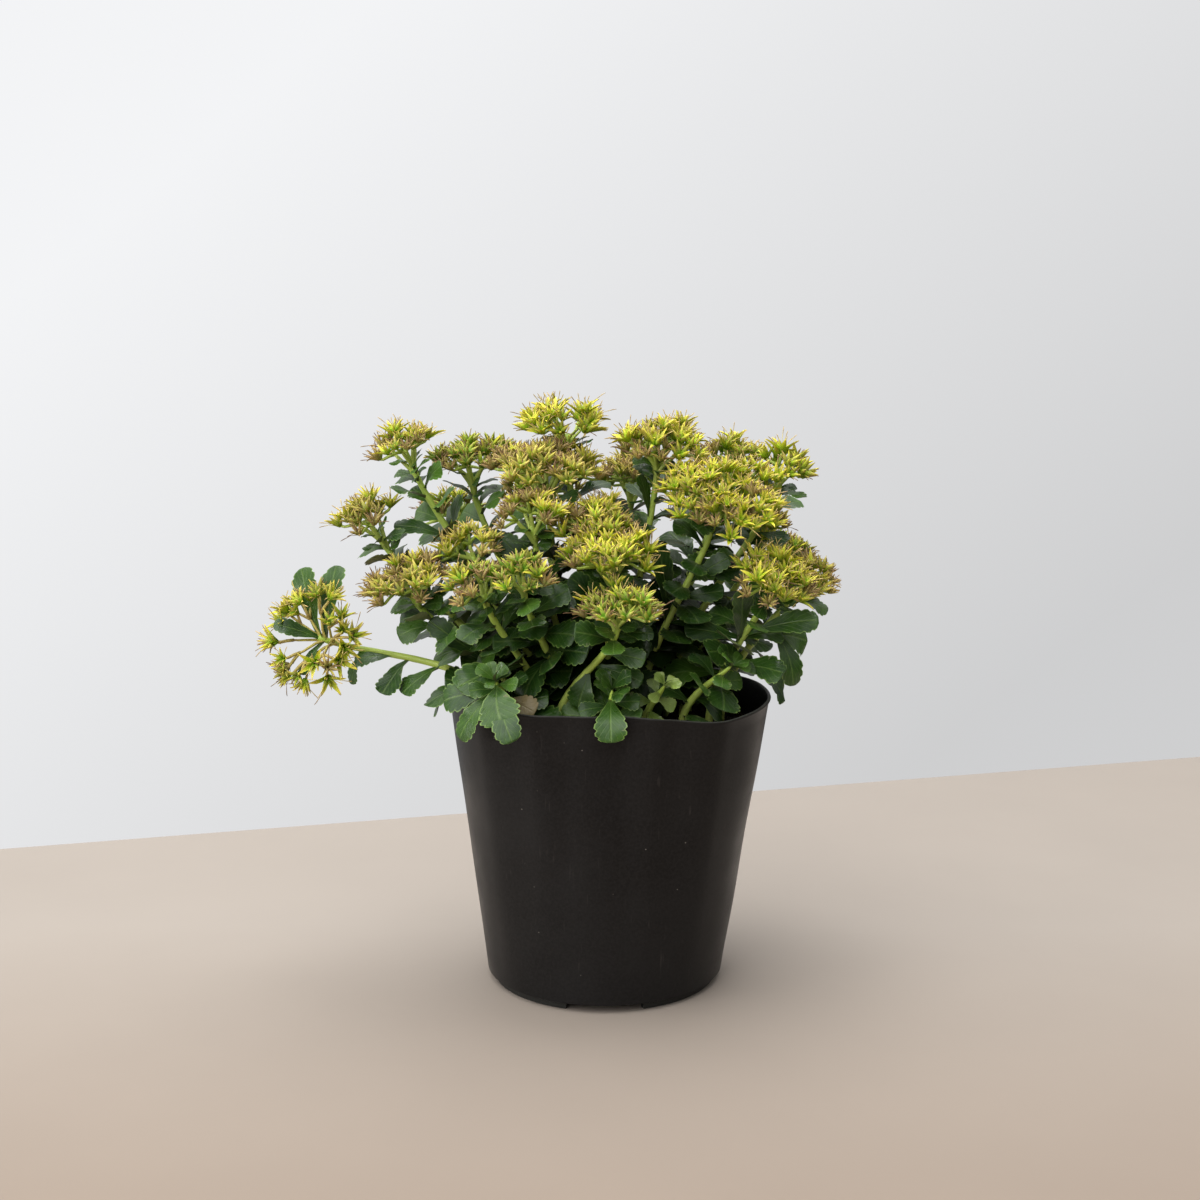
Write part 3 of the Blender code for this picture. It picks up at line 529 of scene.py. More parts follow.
# The soil.
soilLook = {
    "top": 0.1115, "lump": 0.0010, "edgeGap": 0.0018, "crumbs": 900, "crumb": (0.0005, 0.0015), "seed": 11,
    "waves": ((0.0007, 0.0110), (0.0005, 0.0048), (0.0003, 0.0022)),    # height and length, seven ways each
}


def soilHeight(x, y):
    lumps = np.sin(x * 210 + 1.3) * np.cos(y * 240 - 0.6) + 0.6 * np.sin((x + y) * 370)
    return soilLook["top"] + soilLook["lump"] * lumps / 1.6


# The soil's top follows the solid's low lumps, with crossed waves of three finer sizes laid over them.
def makeSoil():
    draw = np.random.default_rng(soilLook["seed"])
    angle = np.linspace(0, fullTurn, 128, endpoint=False)
    inset = potLook["wall"] + soilLook["edgeGap"]
    low = potLook["footHeight"] + potLook["floor"] + 0.0004
    ways, phases = draw.uniform(0, fullTurn, (3, 7)), draw.uniform(0, fullTurn, (3, 7))

    def rough(x, y):
        z = soilHeight(x, y)
        for (size, waveLength), way, phase in zip(soilLook["waves"], ways, phases):
            for w, p in zip(way, phase):
                z = z + size / 2.6 * np.sin((x * math.cos(w) + y * math.sin(w)) * fullTurn / waveLength + p)
        return z

    rings = [(0.001, low), (potLook["wallFootRadius"] - inset, low)]
    rings += [(wallRadius(angle, z) - inset, z) for z in np.linspace(0.02, 0.105, 6)]
    edge = wallRadius(angle, soilLook["top"]) - inset
    for share in np.linspace(1.0, 0.02, 44):
        r = edge * share
        rings.append((r, rough(r * np.cos(angle), r * np.sin(angle)) - 0.0012 * share**12))
    # crumbs: small uneven beads half sunk in the top
    count = soilLook["crumbs"]
    turn = draw.uniform(0, fullTurn, count)
    reach = np.sqrt(draw.uniform(0, 1, count)) * (wallRadius(turn, soilLook["top"]) - inset - 0.0015)
    x, y = reach * np.cos(turn), reach * np.sin(turn)
    size = draw.uniform(*soilLook["crumb"], count) * draw.uniform(0.6, 1.5, count)
    way = unit(draw.normal(size=(count, 3)))
    steps = np.array([-0.9, -0.45, 0.25, 0.85])
    middle = np.stack([x, y, rough(x, y) + size * 0.25], axis=-1)[:, None]
    centre = middle + way[:, None] * (steps * size[:, None])[..., None]
    girth = np.array([0.35, 0.9, 1.0, 0.4]) * size[:, None] * draw.uniform(0.7, 1.1, (count, 4))
    crumbs = tubeRings(centre, girth, 5)
    return makePiece("soil_bed", [{"points": turnRings(rings, angle)}, {"points": crumbs}], [soilMaterial()])


soil = makeSoil()
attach(soil, "root")
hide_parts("soil")
print("soil made")

# Stems and where the heads sit.
stemLook = {
    "rootRadius": 0.0017, "tipRadius": 0.0012, "holeDepth": 0.0065, "riseShare": 0.36, "arriveShare": 0.30,
    "points": 30, "sides": 10, "knot": 0.10,
}
headLook = {"crownBase": 0.006, "crownShare": 0.42, "middle": 0.62}


# A stem rises straight out of its hole and sweeps in one cubic curve to its tip, and arrives along its axis.
def stemPath(root, tip, axis):
    x, y = root
    start = np.array([x, y, soilHeight(x, y) + 0.002])
    bottom = np.array([[x, y, soilHeight(x, y) - stemLook["holeDepth"]]])
    span = np.linalg.norm(tip - start)
    rise = start + [0, 0, span * stemLook["riseShare"]]
    arrive = tip - axis * span * stemLook["arriveShare"]
    curve = curvePoints(start, rise, arrive, tip, np.linspace(0, 1, stemLook["points"]))[0]
    return np.concatenate([bottom, curve])


# The place at a share of a path's length, and the direction of the path there.
def alongPath(path, share):
    steps = np.linalg.norm(np.diff(path, axis=0), axis=1)
    reach = np.concatenate([[0], np.cumsum(steps)]) / steps.sum()

    def at(value):
        return np.array([np.interp(value, reach, path[:, k]) for k in range(3)])

    return at(share), unit(at(share + 0.01) - at(share - 0.01))


plan = []
for number, (middle, root, halfWidth, lean, kind) in enumerate(heads, 1):
    middle, root, halfWidth = np.array(middle) / 1000, np.array(root) / 1000, halfWidth / 1000
    axis = unit(np.array([*lean, 1.0]))
    crown = headLook["crownBase"] + headLook["crownShare"] * halfWidth
    foot = middle - axis * headLook["middle"] * crown
    plan.append({
        "number": number, "axis": axis, "crown": crown, "foot": foot, "halfWidth": halfWidth, "kind": kind,
        "path": stemPath(root, foot, axis),
    })
shootPaths = []
for tip, root in shoots:
    tip, root = np.array(tip) / 1000, np.array(root) / 1000
    shootPaths.append(stemPath(root, tip, unit(np.append(tip[:2] - root, 0.02))))

# Flower heads.
flowerLook = {
    "spacing": 0.0058, "sink": 0.0028, "firstDraw": 41, "stalk": 0.00060, "branch": 0.00105,
    # shares of open, half faded, seed and dried flowers in each kind of head
    "mix": {
        "open": (0.42, 0.33, 0.17, 0.08), "mixed": (0.22, 0.34, 0.30, 0.14),
        "seed": (0.05, 0.23, 0.66, 0.06), "faded": (0.10, 0.32, 0.34, 0.24),
    },
    # heads that are open and loose, with a few flowers on visible stalks
    "loose": (5, 17, 21), "looseLobe": 0.0050, "perLooseLobe": 0.0024, "looseBranch": 0.60, "brownStalks": 21,
    "mixOf": {1: "open", 2: "seed", 21: "open"},    # heads whose flowers look otherwise than their slot says
    # heads that look another way than their stems point
    "facing": {21: (-0.8, -1.8, 0.75), 12: (0, 0, 1), 13: (0, 0, 1)},
    "alike": 0.62,                       # share of a lobe's flowers that are of one kind
    "lowShare": 0.40, "lowDry": 0.45,    # of a head's lowest flowers, this share has dried
    "ringAt": (0.50, 0.80), "lobeSize": 0.43, "fewLobeSize": 0.60, "lobeSpread": 0.75, "looseSpread": 1.7,
    # petal length, half width and rise, pod length, radius and rise, number of strands, age of petals and pods
    "open": (0.0076, 0.00098, 50, 0.0052, 0.00078, 68, 7, 0.00, 0.00),
    "half": (0.0068, 0.00078, 58, 0.0062, 0.00088, 68, 7, 0.16, 0.05),
    "seed": (0.0050, 0.00052, 50, 0.0064, 0.00104, 66, 6, 0.50, 0.10),
    "dry": (0.0058, 0.00058, 60, 0.0058, 0.00082, 68, 9, 0.80, 0.66),
    "sizes": (0.78, 1.18), "looseSize": 1.15, "strandRise": 14, "strandReach": (0.80, 1.22),
}
petalStations = np.array([0.0, 0.30, 0.62, 0.86, 1.0])
petalWidths = np.array([0.55, 1.0, 0.76, 0.38, 0.05])
podWidths = np.array([0.60, 1.0, 0.68, 0.27, 0.06])
strandStations = np.array([0.0, 0.55, 0.9, 1.0])
strandRadii = np.array([0.00013, 0.00011, 0.00022, 0.00012])
bladeRing = np.array([1.0, 0.0, -1.0, 0.0])


# A head is a cluster of small round lobes: one in the middle and the rest in a ring that sits a little lower.
# A loose head has only the ring, which opens wider.
def lobesOf(head, draw):
    look, wide = flowerLook, head["halfWidth"]
    loose = head["number"] in look["loose"]
    number = 3 if wide < 0.0095 else 5 if wide < 0.0155 else 7
    if loose:
        number = max(4, 1 + round(wide / look["perLooseLobe"]))
    ring = np.arange(number - 1) * fullTurn / (number - 1) + draw.uniform(0, 6)
    ring = ring + draw.normal(0, 0.18, number - 1)
    facing = unit(np.array(look["facing"].get(head["number"], head["axis"])))
    side = squareTo(facing)
    other = np.cross(facing, side)
    way = side * np.cos(ring)[:, None] + other * np.sin(ring)[:, None]
    way = way * draw.uniform(*look["ringAt"], number - 1)[:, None] * (1.2 if loose else 1.0)
    out = np.concatenate([np.zeros((1, 3)), way])
    height = head["crown"] * np.concatenate([[0.80], draw.uniform(0.30, 0.62, number - 1)])
    place = head["foot"] + out * wide + facing * height[:, None]
    axis = unit(facing + out * look["looseSpread" if loose else "lobeSpread"])
    size = wide * look["lobeSize" if number > 3 else "fewLobeSize"] * draw.uniform(0.88, 1.14, number)
    if loose:
        size = look["looseLobe"] * draw.uniform(0.7, 1.2, number)
        place, axis, size = place[1:], axis[1:], size[1:]
    return place, axis, size


# The flowers of each lobe stand in a sunflower spiral over its steep little dome and lean out with their place.
def flowerPlaces(head, draw):
    centres, axes, owners = [], [], []
    upright = np.array([0, 0, 0.9 * head["axis"][2] ** 2])
    for lobe, (place, ahead, size) in enumerate(zip(*lobesOf(head, draw))):
        count = max(1, round((size / flowerLook["spacing"]) ** 2 * 3.1 + 0.8))
        i = np.arange(count)
        radius = size * np.sqrt((i + 0.3) / count)
        angle = draw.uniform(0, fullTurn) + i * goldenTurn
        side = squareTo(ahead)
        other = np.cross(ahead, side)
        out = side * np.cos(angle)[:, None] + other * np.sin(angle)[:, None]
        dome = size * 0.75 * (1 - (radius / size) ** 2)
        height = dome + draw.uniform(-0.0014, 0.0026, count) - flowerLook["sink"]
        centres.append(place + out * radius[:, None] + ahead * height[:, None])
        lean = ahead * 0.75 + upright + out * (0.60 * radius / size)[:, None]
        axes.append(unit(lean + draw.normal(0, 0.14, (count, 3))))
        owners += [lobe] * count
    return np.concatenate(centres), np.concatenate(axes), np.array(owners)


# Narrow bodies stand evenly round every flower's axis, at an angle above its base and leaning outwards.
def roundFlower(centre, axis, spin, number, rise, draw, spread):
    side = squareTo(axis)
    other = np.cross(axis, side)
    angle = spin[:, None] + np.arange(number) * fullTurn / number + draw.normal(0, 0.10, (len(centre), number))
    out = side[:, None] * np.cos(angle)[..., None] + other[:, None] * np.sin(angle)[..., None]
    lift = np.radians(rise + draw.normal(0, spread, (len(centre), number)))[..., None]
    along = (out * np.cos(lift) + axis[:, None] * np.sin(lift)).reshape(-1, 3)
    face = (axis[:, None] * np.cos(lift) - out * np.sin(lift)).reshape(-1, 3)
    base = (centre[:, None] + out * 0.0004).reshape(-1, 3)
    return base, along, face


# What the finish reads on one kind of body: its tone is its flower's, and its age varies round the given one.
def flowerPart(rings, slot, stations, tone, number, age, spread, draw):
    ages = np.clip(age + draw.normal(0, spread, len(rings)), 0, 1)[:, None, None]
    tone = np.repeat(tone, number)[:, None, None]
    return {"points": rings, "slot": slot, "along": stations[None, :, None], "tone": tone, "age": ages}


# Petals are small blades that bend outwards; those of seed and dry flowers curl either way.
def petals(centre, axis, spin, kind, tone, scale, draw):
    length, halfWidth, rise, _, _, _, _, age, _ = flowerLook[kind]
    base, along, face = roundFlower(centre, axis, spin, 5, rise, draw, 9)
    n = len(base)
    size = draw.uniform(0.9, 1.1, n) * np.repeat(scale, 5)
    width = petalWidths * halfWidth * size[:, None]
    bend = draw.uniform(0.05, 0.75, n) + (0.5 if kind in ("seed", "dry") else 0.0) * draw.uniform(-1, 1.5, n)
    twist = draw.normal(0, 0.25 if kind == "open" else 0.9, n)
    depth = 0.00028 + width * 0.2
    rings = bladeRings(
        base, along, face, length * size, bend, twist, petalStations, width, width * 0.45, depth, bladeRing
    )
    part = flowerPart(rings, 0, petalStations, tone, 5, age, 0.12, draw)
    return part | {"across": bladeRing}


# Pods swell near the base and draw out to a beak that leans outwards.
def pods(centre, axis, spin, kind, tone, scale, draw):
    _, _, _, length, radius, rise, _, _, age = flowerLook[kind]
    base, along, face = roundFlower(centre, axis, spin + 0.6, 5, rise, draw, 6)
    size = draw.uniform(0.9, 1.1, len(base)) * np.repeat(scale, 5)
    s = petalStations[None, :, None]
    lean = 0.35 * s**2
    path = base[:, None] + (along[:, None] * s - face[:, None] * lean * 0.6) * (length * size)[:, None, None]
    rings = tubeRings(path, podWidths * radius * size[:, None], 4)
    return flowerPart(rings, 1, petalStations, tone, 5, age, 0.12, draw)


# Strands: stamens, or what is left of them, thin and wavering, each with a small head.
def strands(centre, axis, spin, kind, tone, scale, draw):
    length, _, rise, _, _, _, number, age, _ = flowerLook[kind]
    base, along, face = roundFlower(centre, axis, spin + 0.3, number, rise + flowerLook["strandRise"], draw, 14)
    n = len(base)
    reach = length * draw.uniform(*flowerLook["strandReach"], n) * np.repeat(scale, number)
    s = strandStations[None, :, None]
    droop = draw.normal(0.15 if kind == "open" else 0.35, 0.25, n)[:, None, None]
    side = np.cross(along, face)[:, None] * draw.normal(0, 0.15, n)[:, None, None]
    path = base[:, None] + (along[:, None] * s + (side - face[:, None] * droop) * s**2) * reach[:, None, None]
    return flowerPart(tubeRings(path, strandRadii, 3), 2, strandStations, tone, number, 0.25 + age, 0.15, draw)


# A branch forks off the stem for every lobe, and a thin stalk runs from its end to each of the lobe's flowers.
def stalks(head, centre, owner, draw):
    number = owner.max() + 1
    middle = np.array([centre[owner == k].mean(axis=0) for k in range(number)])
    begin = np.array([alongPath(head["path"], share)[0] for share in draw.uniform(0.88, 0.98, number)])
    fork = middle + (head["foot"] - middle) * 0.42
    knee = begin + head["axis"] * 0.40 * np.linalg.norm(fork - begin, axis=1)[:, None]
    thick = flowerLook["branch"] * (flowerLook["looseBranch"] if head["number"] in flowerLook["loose"] else 1.0)
    branches = curvePoints(begin, knee, fork - head["axis"] * 0.0015, fork, np.linspace(0, 1, 6))
    branches = tubeRings(branches, np.linspace(1.15, 0.75, 6) * thick, 6)
    start = fork[owner]
    knee = start + (centre - start) * 0.35 + head["axis"] * 0.0008
    thin = curvePoints(start, knee, centre - head["axis"] * 0.0014, centre, np.linspace(0, 1, 4))
    thin = tubeRings(thin, np.linspace(1.2, 0.95, 4) * flowerLook["stalk"], 4)
    slot = 2 if head["number"] == flowerLook["brownStalks"] else 3
    return [{"points": branches, "slot": slot, "along": 0.3, "age": 0.5, "tone": 0.5},
            {"points": thin, "slot": slot, "along": 0.6, "age": 0.4, "tone": 0.5}]


headSpots = []
for number, head in enumerate(plan, 1):
    draw = np.random.default_rng(flowerLook["firstDraw"] + number)
    centre, axis, owner = flowerPlaces(head, draw)
    headSpots.append(centre)
    count = len(centre)
    loose = number in flowerLook["loose"]
    mix = flowerLook["mix"][flowerLook["mixOf"].get(number, head["kind"])]
    lobeKinds = draw.choice(4, owner.max() + 1, p=mix)[owner]
    kinds = np.where(draw.uniform(0, 1, count) < flowerLook["alike"], lobeKinds, draw.choice(4, count, p=mix))
    low = centre @ head["axis"]
    low = (low < np.quantile(low, flowerLook["lowShare"])) & (not loose)
    kinds[low & (draw.uniform(0, 1, count) < flowerLook["lowDry"])] = 3
    tone = draw.uniform(0, 1, count)
    spin = draw.uniform(0, fullTurn, count)
    scale = draw.uniform(*flowerLook["sizes"], count) * (flowerLook["looseSize"] if loose else 1.0)
    parts = stalks(head, centre, owner, draw)
    for k, kind in enumerate(("open", "half", "seed", "dry")):
        chosen = kinds == k
        if chosen.any():
            shared = (centre[chosen], axis[chosen], spin[chosen], kind, tone[chosen], scale[chosen], draw)
            parts += [petals(*shared), pods(*shared), strands(*shared)]
    skins = [petalYellow, podSkins[head["kind"]], strandTan, stemGreen]
    item = makePiece(f"flower_head_{number:02d}", parts, skins)
    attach(item, "root")
    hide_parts(f"head_{number:02d}")
print("flower heads made:", sum(len(c) for c in headSpots), "flowers")

# Leaves.
leafLook = {
    "firstDraw": 77, "perMetre": 198, "firstAt": 0.14, "lastAt": 0.94, "longest": 0.0300, "shortest": 0.0150,
    "slimness": (0.54, 0.70), "thickness": 0.0011, "petiole": 0.0011, "usual": 0.024, "tries": 16,
    "liftLow": (55, 108), "liftHigh": (35, 75), "bend": (0.30, 1.30), "twist": 0.22,
    # how far the plant reaches from the pot's axis, for the painted shade inside it
    "reachAtRim": 0.053, "reachPerHeight": 0.40, "shadeUpTo": 0.075,
    "bracts": 7, "bractLength": (0.0075, 0.0130), "bractsFrom": 0.90, "bractLift": (48, 85),
    "bareFrom": {21: 0.36},    # this stem carries no leaves of the rule's own past that share
    "bareTo": {13: 0.80, 19: 0.38, 20: 0.38, 16: 0.25},    # and these none before it
    "withered": {28: 3},       # stem and row, among its own in posedLeaves, of the one brown leaf
    # the faces turn to the light: away from the pot's axis, and towards the brighter front and up
    "lightOut": 0.55, "light": (-0.15, -0.65, 0.65), "lightPull": 2.0,
    "near": 0.045, "roomy": 0.0055, "tooTight": -0.002,    # metres, when a leaf's tries are compared
}
# leaves that the photo shows plainly: stem (the shoots follow on from 27), share along it, tip and width in
# millimetres, bend
posedLeaves = [
    (9, 0.50, (-60, -40, 134.5), 16.5, 0.5),
    (28, 0.95, (-41, -55.5, 122.5), 17.5, 1.1),
    (7, 0.62, (-43.5, -18, 146), 13.5, 0.5),
    (10, 0.50, (-21, -48, 144.5), 13, 0.4),
    (10, 0.55, (-7, -45, 149.5), 12, 0.5),
    (32, 0.85, (2.5, -61.5, 116.5), 12.5, 1.3),
    (28, 0.88, (-59, -44, 114), 10, 1.0),
    (28, 0.80, (-36.5, -60.5, 116.5), 11, 1.2),
    (28, 0.70, (-28, -46, 125.5), 10, 0.9),
    (28, 0.86, (-66, -36, 128), 12.5, 0.8),
    (19, 0.35, (48.5, -36, 124), 15, 0.9),
    (19, 0.55, (42, -33, 148), 12.5, 0.4),
    (19, 0.62, (56, -28, 173), 11, 0.3),
    (19, 0.70, (88.5, -22, 159.5), 10.5, 0.5),
    (19, 0.66, (33, -20, 155.5), 10.5, 0.5),
    (20, 0.72, (80, -10, 129), 11.5, 1.0),
    (13, 0.88, (-12, -55, 160), 10.5, 0.4),
    (13, 0.78, (16, -50, 147.5), 8.5, 0.5),
    (13, 0.66, (15, -46, 138), 9, 0.5),
    (13, 0.62, (-11, -40, 126), 12, 0.5),
    (21, 0.60, (-94, -12, 126), 14.5, 0.4),
    (21, 0.46, (-85, -16, 127), 13, 0.5),
    (21, 0.25, (-67, -18, 133.5), 12.5, 0.5),
    (21, 0.66, (-106, -8, 140), 10.5, 0.4),
    (21, 0.80, (-108, -6, 129), 7, 0.6),
    (8, 0.45, (-74, -10, 157), 9.5, 0.4),
    (21, 0.99, (-129, 0, 178), 13.5, 0.2),
    (21, 0.97, (-114.5, 2, 179), 14.5, 0.2),
    (21, 0.97, (-127, -16, 135), 8.5, 0.5),
    (21, 0.96, (-139, -12, 156), 8, 0.4),
    (6, 0.62, (-15, -20, 172.5), 10, 0.4),
    (6, 0.75, (-43, -10, 192), 10.5, 0.4),
    (10, 0.75, (-13, -30, 171), 12.5, 0.4),
    (12, 0.80, (-14.5, -28, 178), 10, 0.4),
    (16, 0.60, (50, -12, 170), 9.5, 0.4),
    (16, 0.68, (52, -10, 184), 8.5, 0.4),
    (16, 0.50, (22, -9, 190), 9.5, 0.4),
    (14, 0.78, (15, 5, 217.5), 8, 0.3),
    (14, 0.62, (-2, -3, 208), 11.5, 1.1),
    (11, 0.90, (14, 10, 201), 8.5, 0.7),
    (1, 0.70, (-62, 8, 208.5), 9, 0.4),
    (1, 0.70, (-90, 6, 196), 8.5, 0.5),
]
shootLook = {
    "leaves": 11, "firstAt": 0.30, "sizes": (0.0235, 0.0110), "topLift": (12, 55), "topSizes": (0.005, 0.008),
    "young": 27, "youngSizes": (0.0125, 0.0060),
}
leafStations = np.array([
    0.0, 0.12, 0.27, 0.42, 0.52, 0.56, 0.61, 0.65, 0.69, 0.75, 0.79, 0.83, 0.875, 0.905, 0.935, 0.97, 1.0])
leafTeeth = np.array([
    1.0, 1.0, 1.0, 1.0, 0.96, 1.04, 1.06, 0.93, 1.05, 1.08, 0.90, 1.04, 1.07, 0.89, 1.06, 1.09, 0.95])
# half width along the blade: it swells like a wedge to three quarters of the length and closes in a round tip
swell = np.sin(np.pi / 2 * np.minimum(1, leafStations / 0.77) ** 1.45)
leafWidths = np.sqrt(1 - (np.clip(leafStations - 0.77, 0, 0.23) / 0.238) ** 2.8) * swell
leafRing = np.array([1.0, 0.55, 0.0, -0.55, -1.0, 0.0])
leafUnder = np.array([0.0, 0.0, 0.0, 0.0, 0.0, 1.0])


# A leaf is a spoon-shaped blade: narrow at its stalk, widest at three quarters, with rounded teeth beyond the
# middle. Its rim rises like a shallow channel that flattens and waves a little towards the tip.
def leafRings(base, along, face, length, slim, bend, twist, cup, wave):
    s, scale = leafStations, (length / leafLook["usual"])[:, None]
    half = np.maximum(leafWidths * (length * slim / 2)[:, None], leafLook["petiole"] * scale)
    height = half * (cup[:, None] * (1.2 - 1.7 * s) + 0.13 * np.sin(9 * s + wave[:, None]))
    depth = leafLook["thickness"] * scale * (1.15 - 0.75 * s)
    half = half[..., None] * np.where(np.abs(leafRing) > 0.99, leafTeeth[:, None], 1.0)
    return bladeRings(base, along, face, length, bend, twist, s, half, height, depth, leafRing)


# A number from the low range at the foot of the stem, from the high range at its tip, and between them midway.
def taperedDraw(draw, low, high, share):
    return draw.uniform(*low) * (1 - share) + draw.uniform(*high) * share


paths = [head["path"] for head in plan] + shootPaths
taken = np.concatenate(headSpots + [path[4:-1] for path in paths])
boxLow = np.array(cadLow) - potPlace - 0.006
boxHigh = np.array(cadHigh) - potPlace + 0.006


# How well a try sits: its least distance from what is there, less a penalty for the pot, the soil and the box.
def fitOf(points, spots):
    x, y, z = points[..., 0], points[..., 1], points[..., 2]
    r, angle = np.hypot(x, y), np.arctan2(y, x)
    wall = wallRadius(angle, np.minimum(z, potLook["height"]))
    deep = np.maximum(0, rimHeight(angle) + 0.0012 - z)
    hit = 4 * np.minimum(deep, np.maximum(0, 0.0024 - np.abs(r - wall + 0.0004)))
    outside = np.where((r > wall) & (z < potLook["height"] - 0.012), 0.004, 0)
    low = np.maximum(0, soilHeight(x, y) + 0.0012 - z) * (r < wall)
    box = np.maximum(0, boxLow - points).sum(-1) + np.maximum(0, points - boxHigh).sum(-1)
    gap = np.linalg.norm(points[:, :, None] - spots[None, None], axis=-1).min(axis=(1, 2))
    return np.minimum(gap, leafLook["roomy"]) - 3 * (hit + low + box + outside).max(axis=1)


# The direction that a leaf at this place turns its face to.
def lightAt(place):
    out = unit(place[..., :2] + 1e-4)
    return np.concatenate([out * leafLook["lightOut"], 0 * out[..., :1]], axis=-1) + leafLook["light"]


# A posed leaf runs from its stem to its tip in an arc over the straight line between them: it sets off at
# 0.444 of its bend above that line, and is longer than it by a share of bend ** 2 / 24.
def poseLeaves(number, path, draw):
    rows = [row[1:] for row in posedLeaves if row[0] == number]
    if not rows:
        return np.zeros((0, len(leafStations), len(leafRing), 3))
    share, tip, width, bend = (np.array(column) for column in zip(*rows))
    tip, width = tip / 1000, width / 1000
    base = np.array([alongPath(path, value)[0] for value in share])
    chord = tip - base
    reach = np.linalg.norm(chord, axis=1)
    chord = chord / reach[:, None]
    face = lightAt(base)
    face = unit(face - (face * chord).sum(axis=1)[:, None] * chord)
    start = 0.444 * bend[:, None]
    along = chord * np.cos(start) + face * np.sin(start)
    face = face * np.cos(start) - chord * np.sin(start)
    n = len(rows)
    length = reach * (1 + bend**2 / 24)
    twist, cup, wave = draw.normal(0, 0.08, n), draw.uniform(0.1, 0.3, n), draw.uniform(0, 6.3, n)
    return leafRings(base, along, face, length, width / length, bend, twist, cup, wave)


# Leaves stand in a spiral up the stem. Each is tried at several turns, rises and bends, the roomiest try is
# kept, and a leaf that finds no room at all is left out.
def growLeaves(path, shares, sizes, draw, heights, liftLow=leafLook["liftLow"]):
    global taken
    chosen = {key: [] for key in ("base", "along", "face", "length", "slim", "bend", "twist", "cup", "wave")}
    turn = draw.uniform(0, fullTurn)
    for share, size, high in zip(shares, sizes, heights):
        turn += goldenTurn
        place, ahead = alongPath(path, share)
        rising = unit(ahead + np.array([0, 0, 0.55]))
        side = squareTo(rising)
        other = np.cross(rising, side)
        n = leafLook["tries"]
        angle = turn + draw.uniform(-1, 1, n) * np.linspace(0.1, 1.3, n)
        out = side * np.cos(angle)[:, None] + other * np.sin(angle)[:, None]
        lift = [taperedDraw(draw, liftLow, leafLook["liftHigh"], high) for _ in range(n)]
        lift = np.radians(lift)[:, None]
        along = rising * np.cos(lift) + out * np.sin(lift)
        face = rising * np.sin(lift) - out * np.cos(lift) + leafLook["lightPull"] * lightAt(place)
        face = unit(face - (face * along).sum(axis=1)[:, None] * along)
        tries = {
            "base": np.repeat(place[None], n, axis=0), "along": along, "face": face,
            "length": size * np.linspace(1.05, 0.8, n), "slim": draw.uniform(*leafLook["slimness"], n),
            "bend": draw.uniform(*leafLook["bend"], n) * (1 - 0.35 * high),
            "twist": draw.normal(0, leafLook["twist"], n),
            "cup": draw.uniform(0.15, 0.45, n), "wave": draw.uniform(0, 6.3, n),
        }
        rings = leafRings(**tries)
        near = taken[np.linalg.norm(taken - place, axis=1) < leafLook["near"]]
        score = fitOf(rings[:, 3::2, ::2].reshape(n, -1, 3), near)
        best = int(np.argmax(score))
        if score[best] < leafLook["tooTight"]:
            skipped.append(share)
            continue
        for key in chosen:
            chosen[key].append(tries[key][best])
        taken = np.concatenate([taken, rings[best, 3::2, [0, 2, 4]].reshape(-1, 3)])
    return leafRings(**{key: np.array(value) for key, value in chosen.items()})


# Painted shade for leaves deep inside the plant: it falls from 1 to 0 with the distance from the pot's axis,
# taken as a share of how far the plant reaches at that height, and it fades out towards the heads.
def paintedShadeAt(points):
    high = points[..., 2] - 0.12
    reach = leafLook["reachAtRim"] + leafLook["reachPerHeight"] * high
    shade = (1.0 - np.hypot(points[..., 0], points[..., 1]) / reach) / 0.5
    return np.clip(shade, 0, 1) * np.clip(1.35 - high / leafLook["shadeUpTo"], 0.25, 1)


# What the finish reads on the leaves. The first ones, the posed leaves, get a lower tone and so a darker green,
# and the withered one, where there is one, gets the tone of a spent leaf.
def leafPart(rings, draw, posedCount, withered):
    tone = draw.uniform(0, 0.98, len(rings)) ** 1.8
    tone[:posedCount] *= 0.3
    if withered is not None:
        tone[withered] = 1.0
    # shade: the painted shade inside the plant
    return {"points": rings, "slot": 1, "along": leafStations[None, :, None], "across": leafRing,
            "under": leafUnder, "tone": tone[:, None, None], "shade": paintedShadeAt(rings)}


# A stem tapers along its path, with slight knots, and a shoot's closes in a round tip.
def stemPart(path, draw, onHead):
    count = len(path)
    knots = 1 + stemLook["knot"] * np.maximum(0, np.sin(np.arange(count) * 2.2 + draw.uniform(0, 6))) ** 2
    radius = np.linspace(stemLook["rootRadius"], stemLook["tipRadius"], count) * knots
    if not onHead:
        radius = radius * np.sqrt(1.03 - np.linspace(0, 1, count) ** 4)
    rings = tubeRings(path[None], radius[None], stemLook["sides"])
    return {"points": rings, "slot": 0, "along": np.linspace(0, 1, count)[None, :, None], "tone": 0.5}


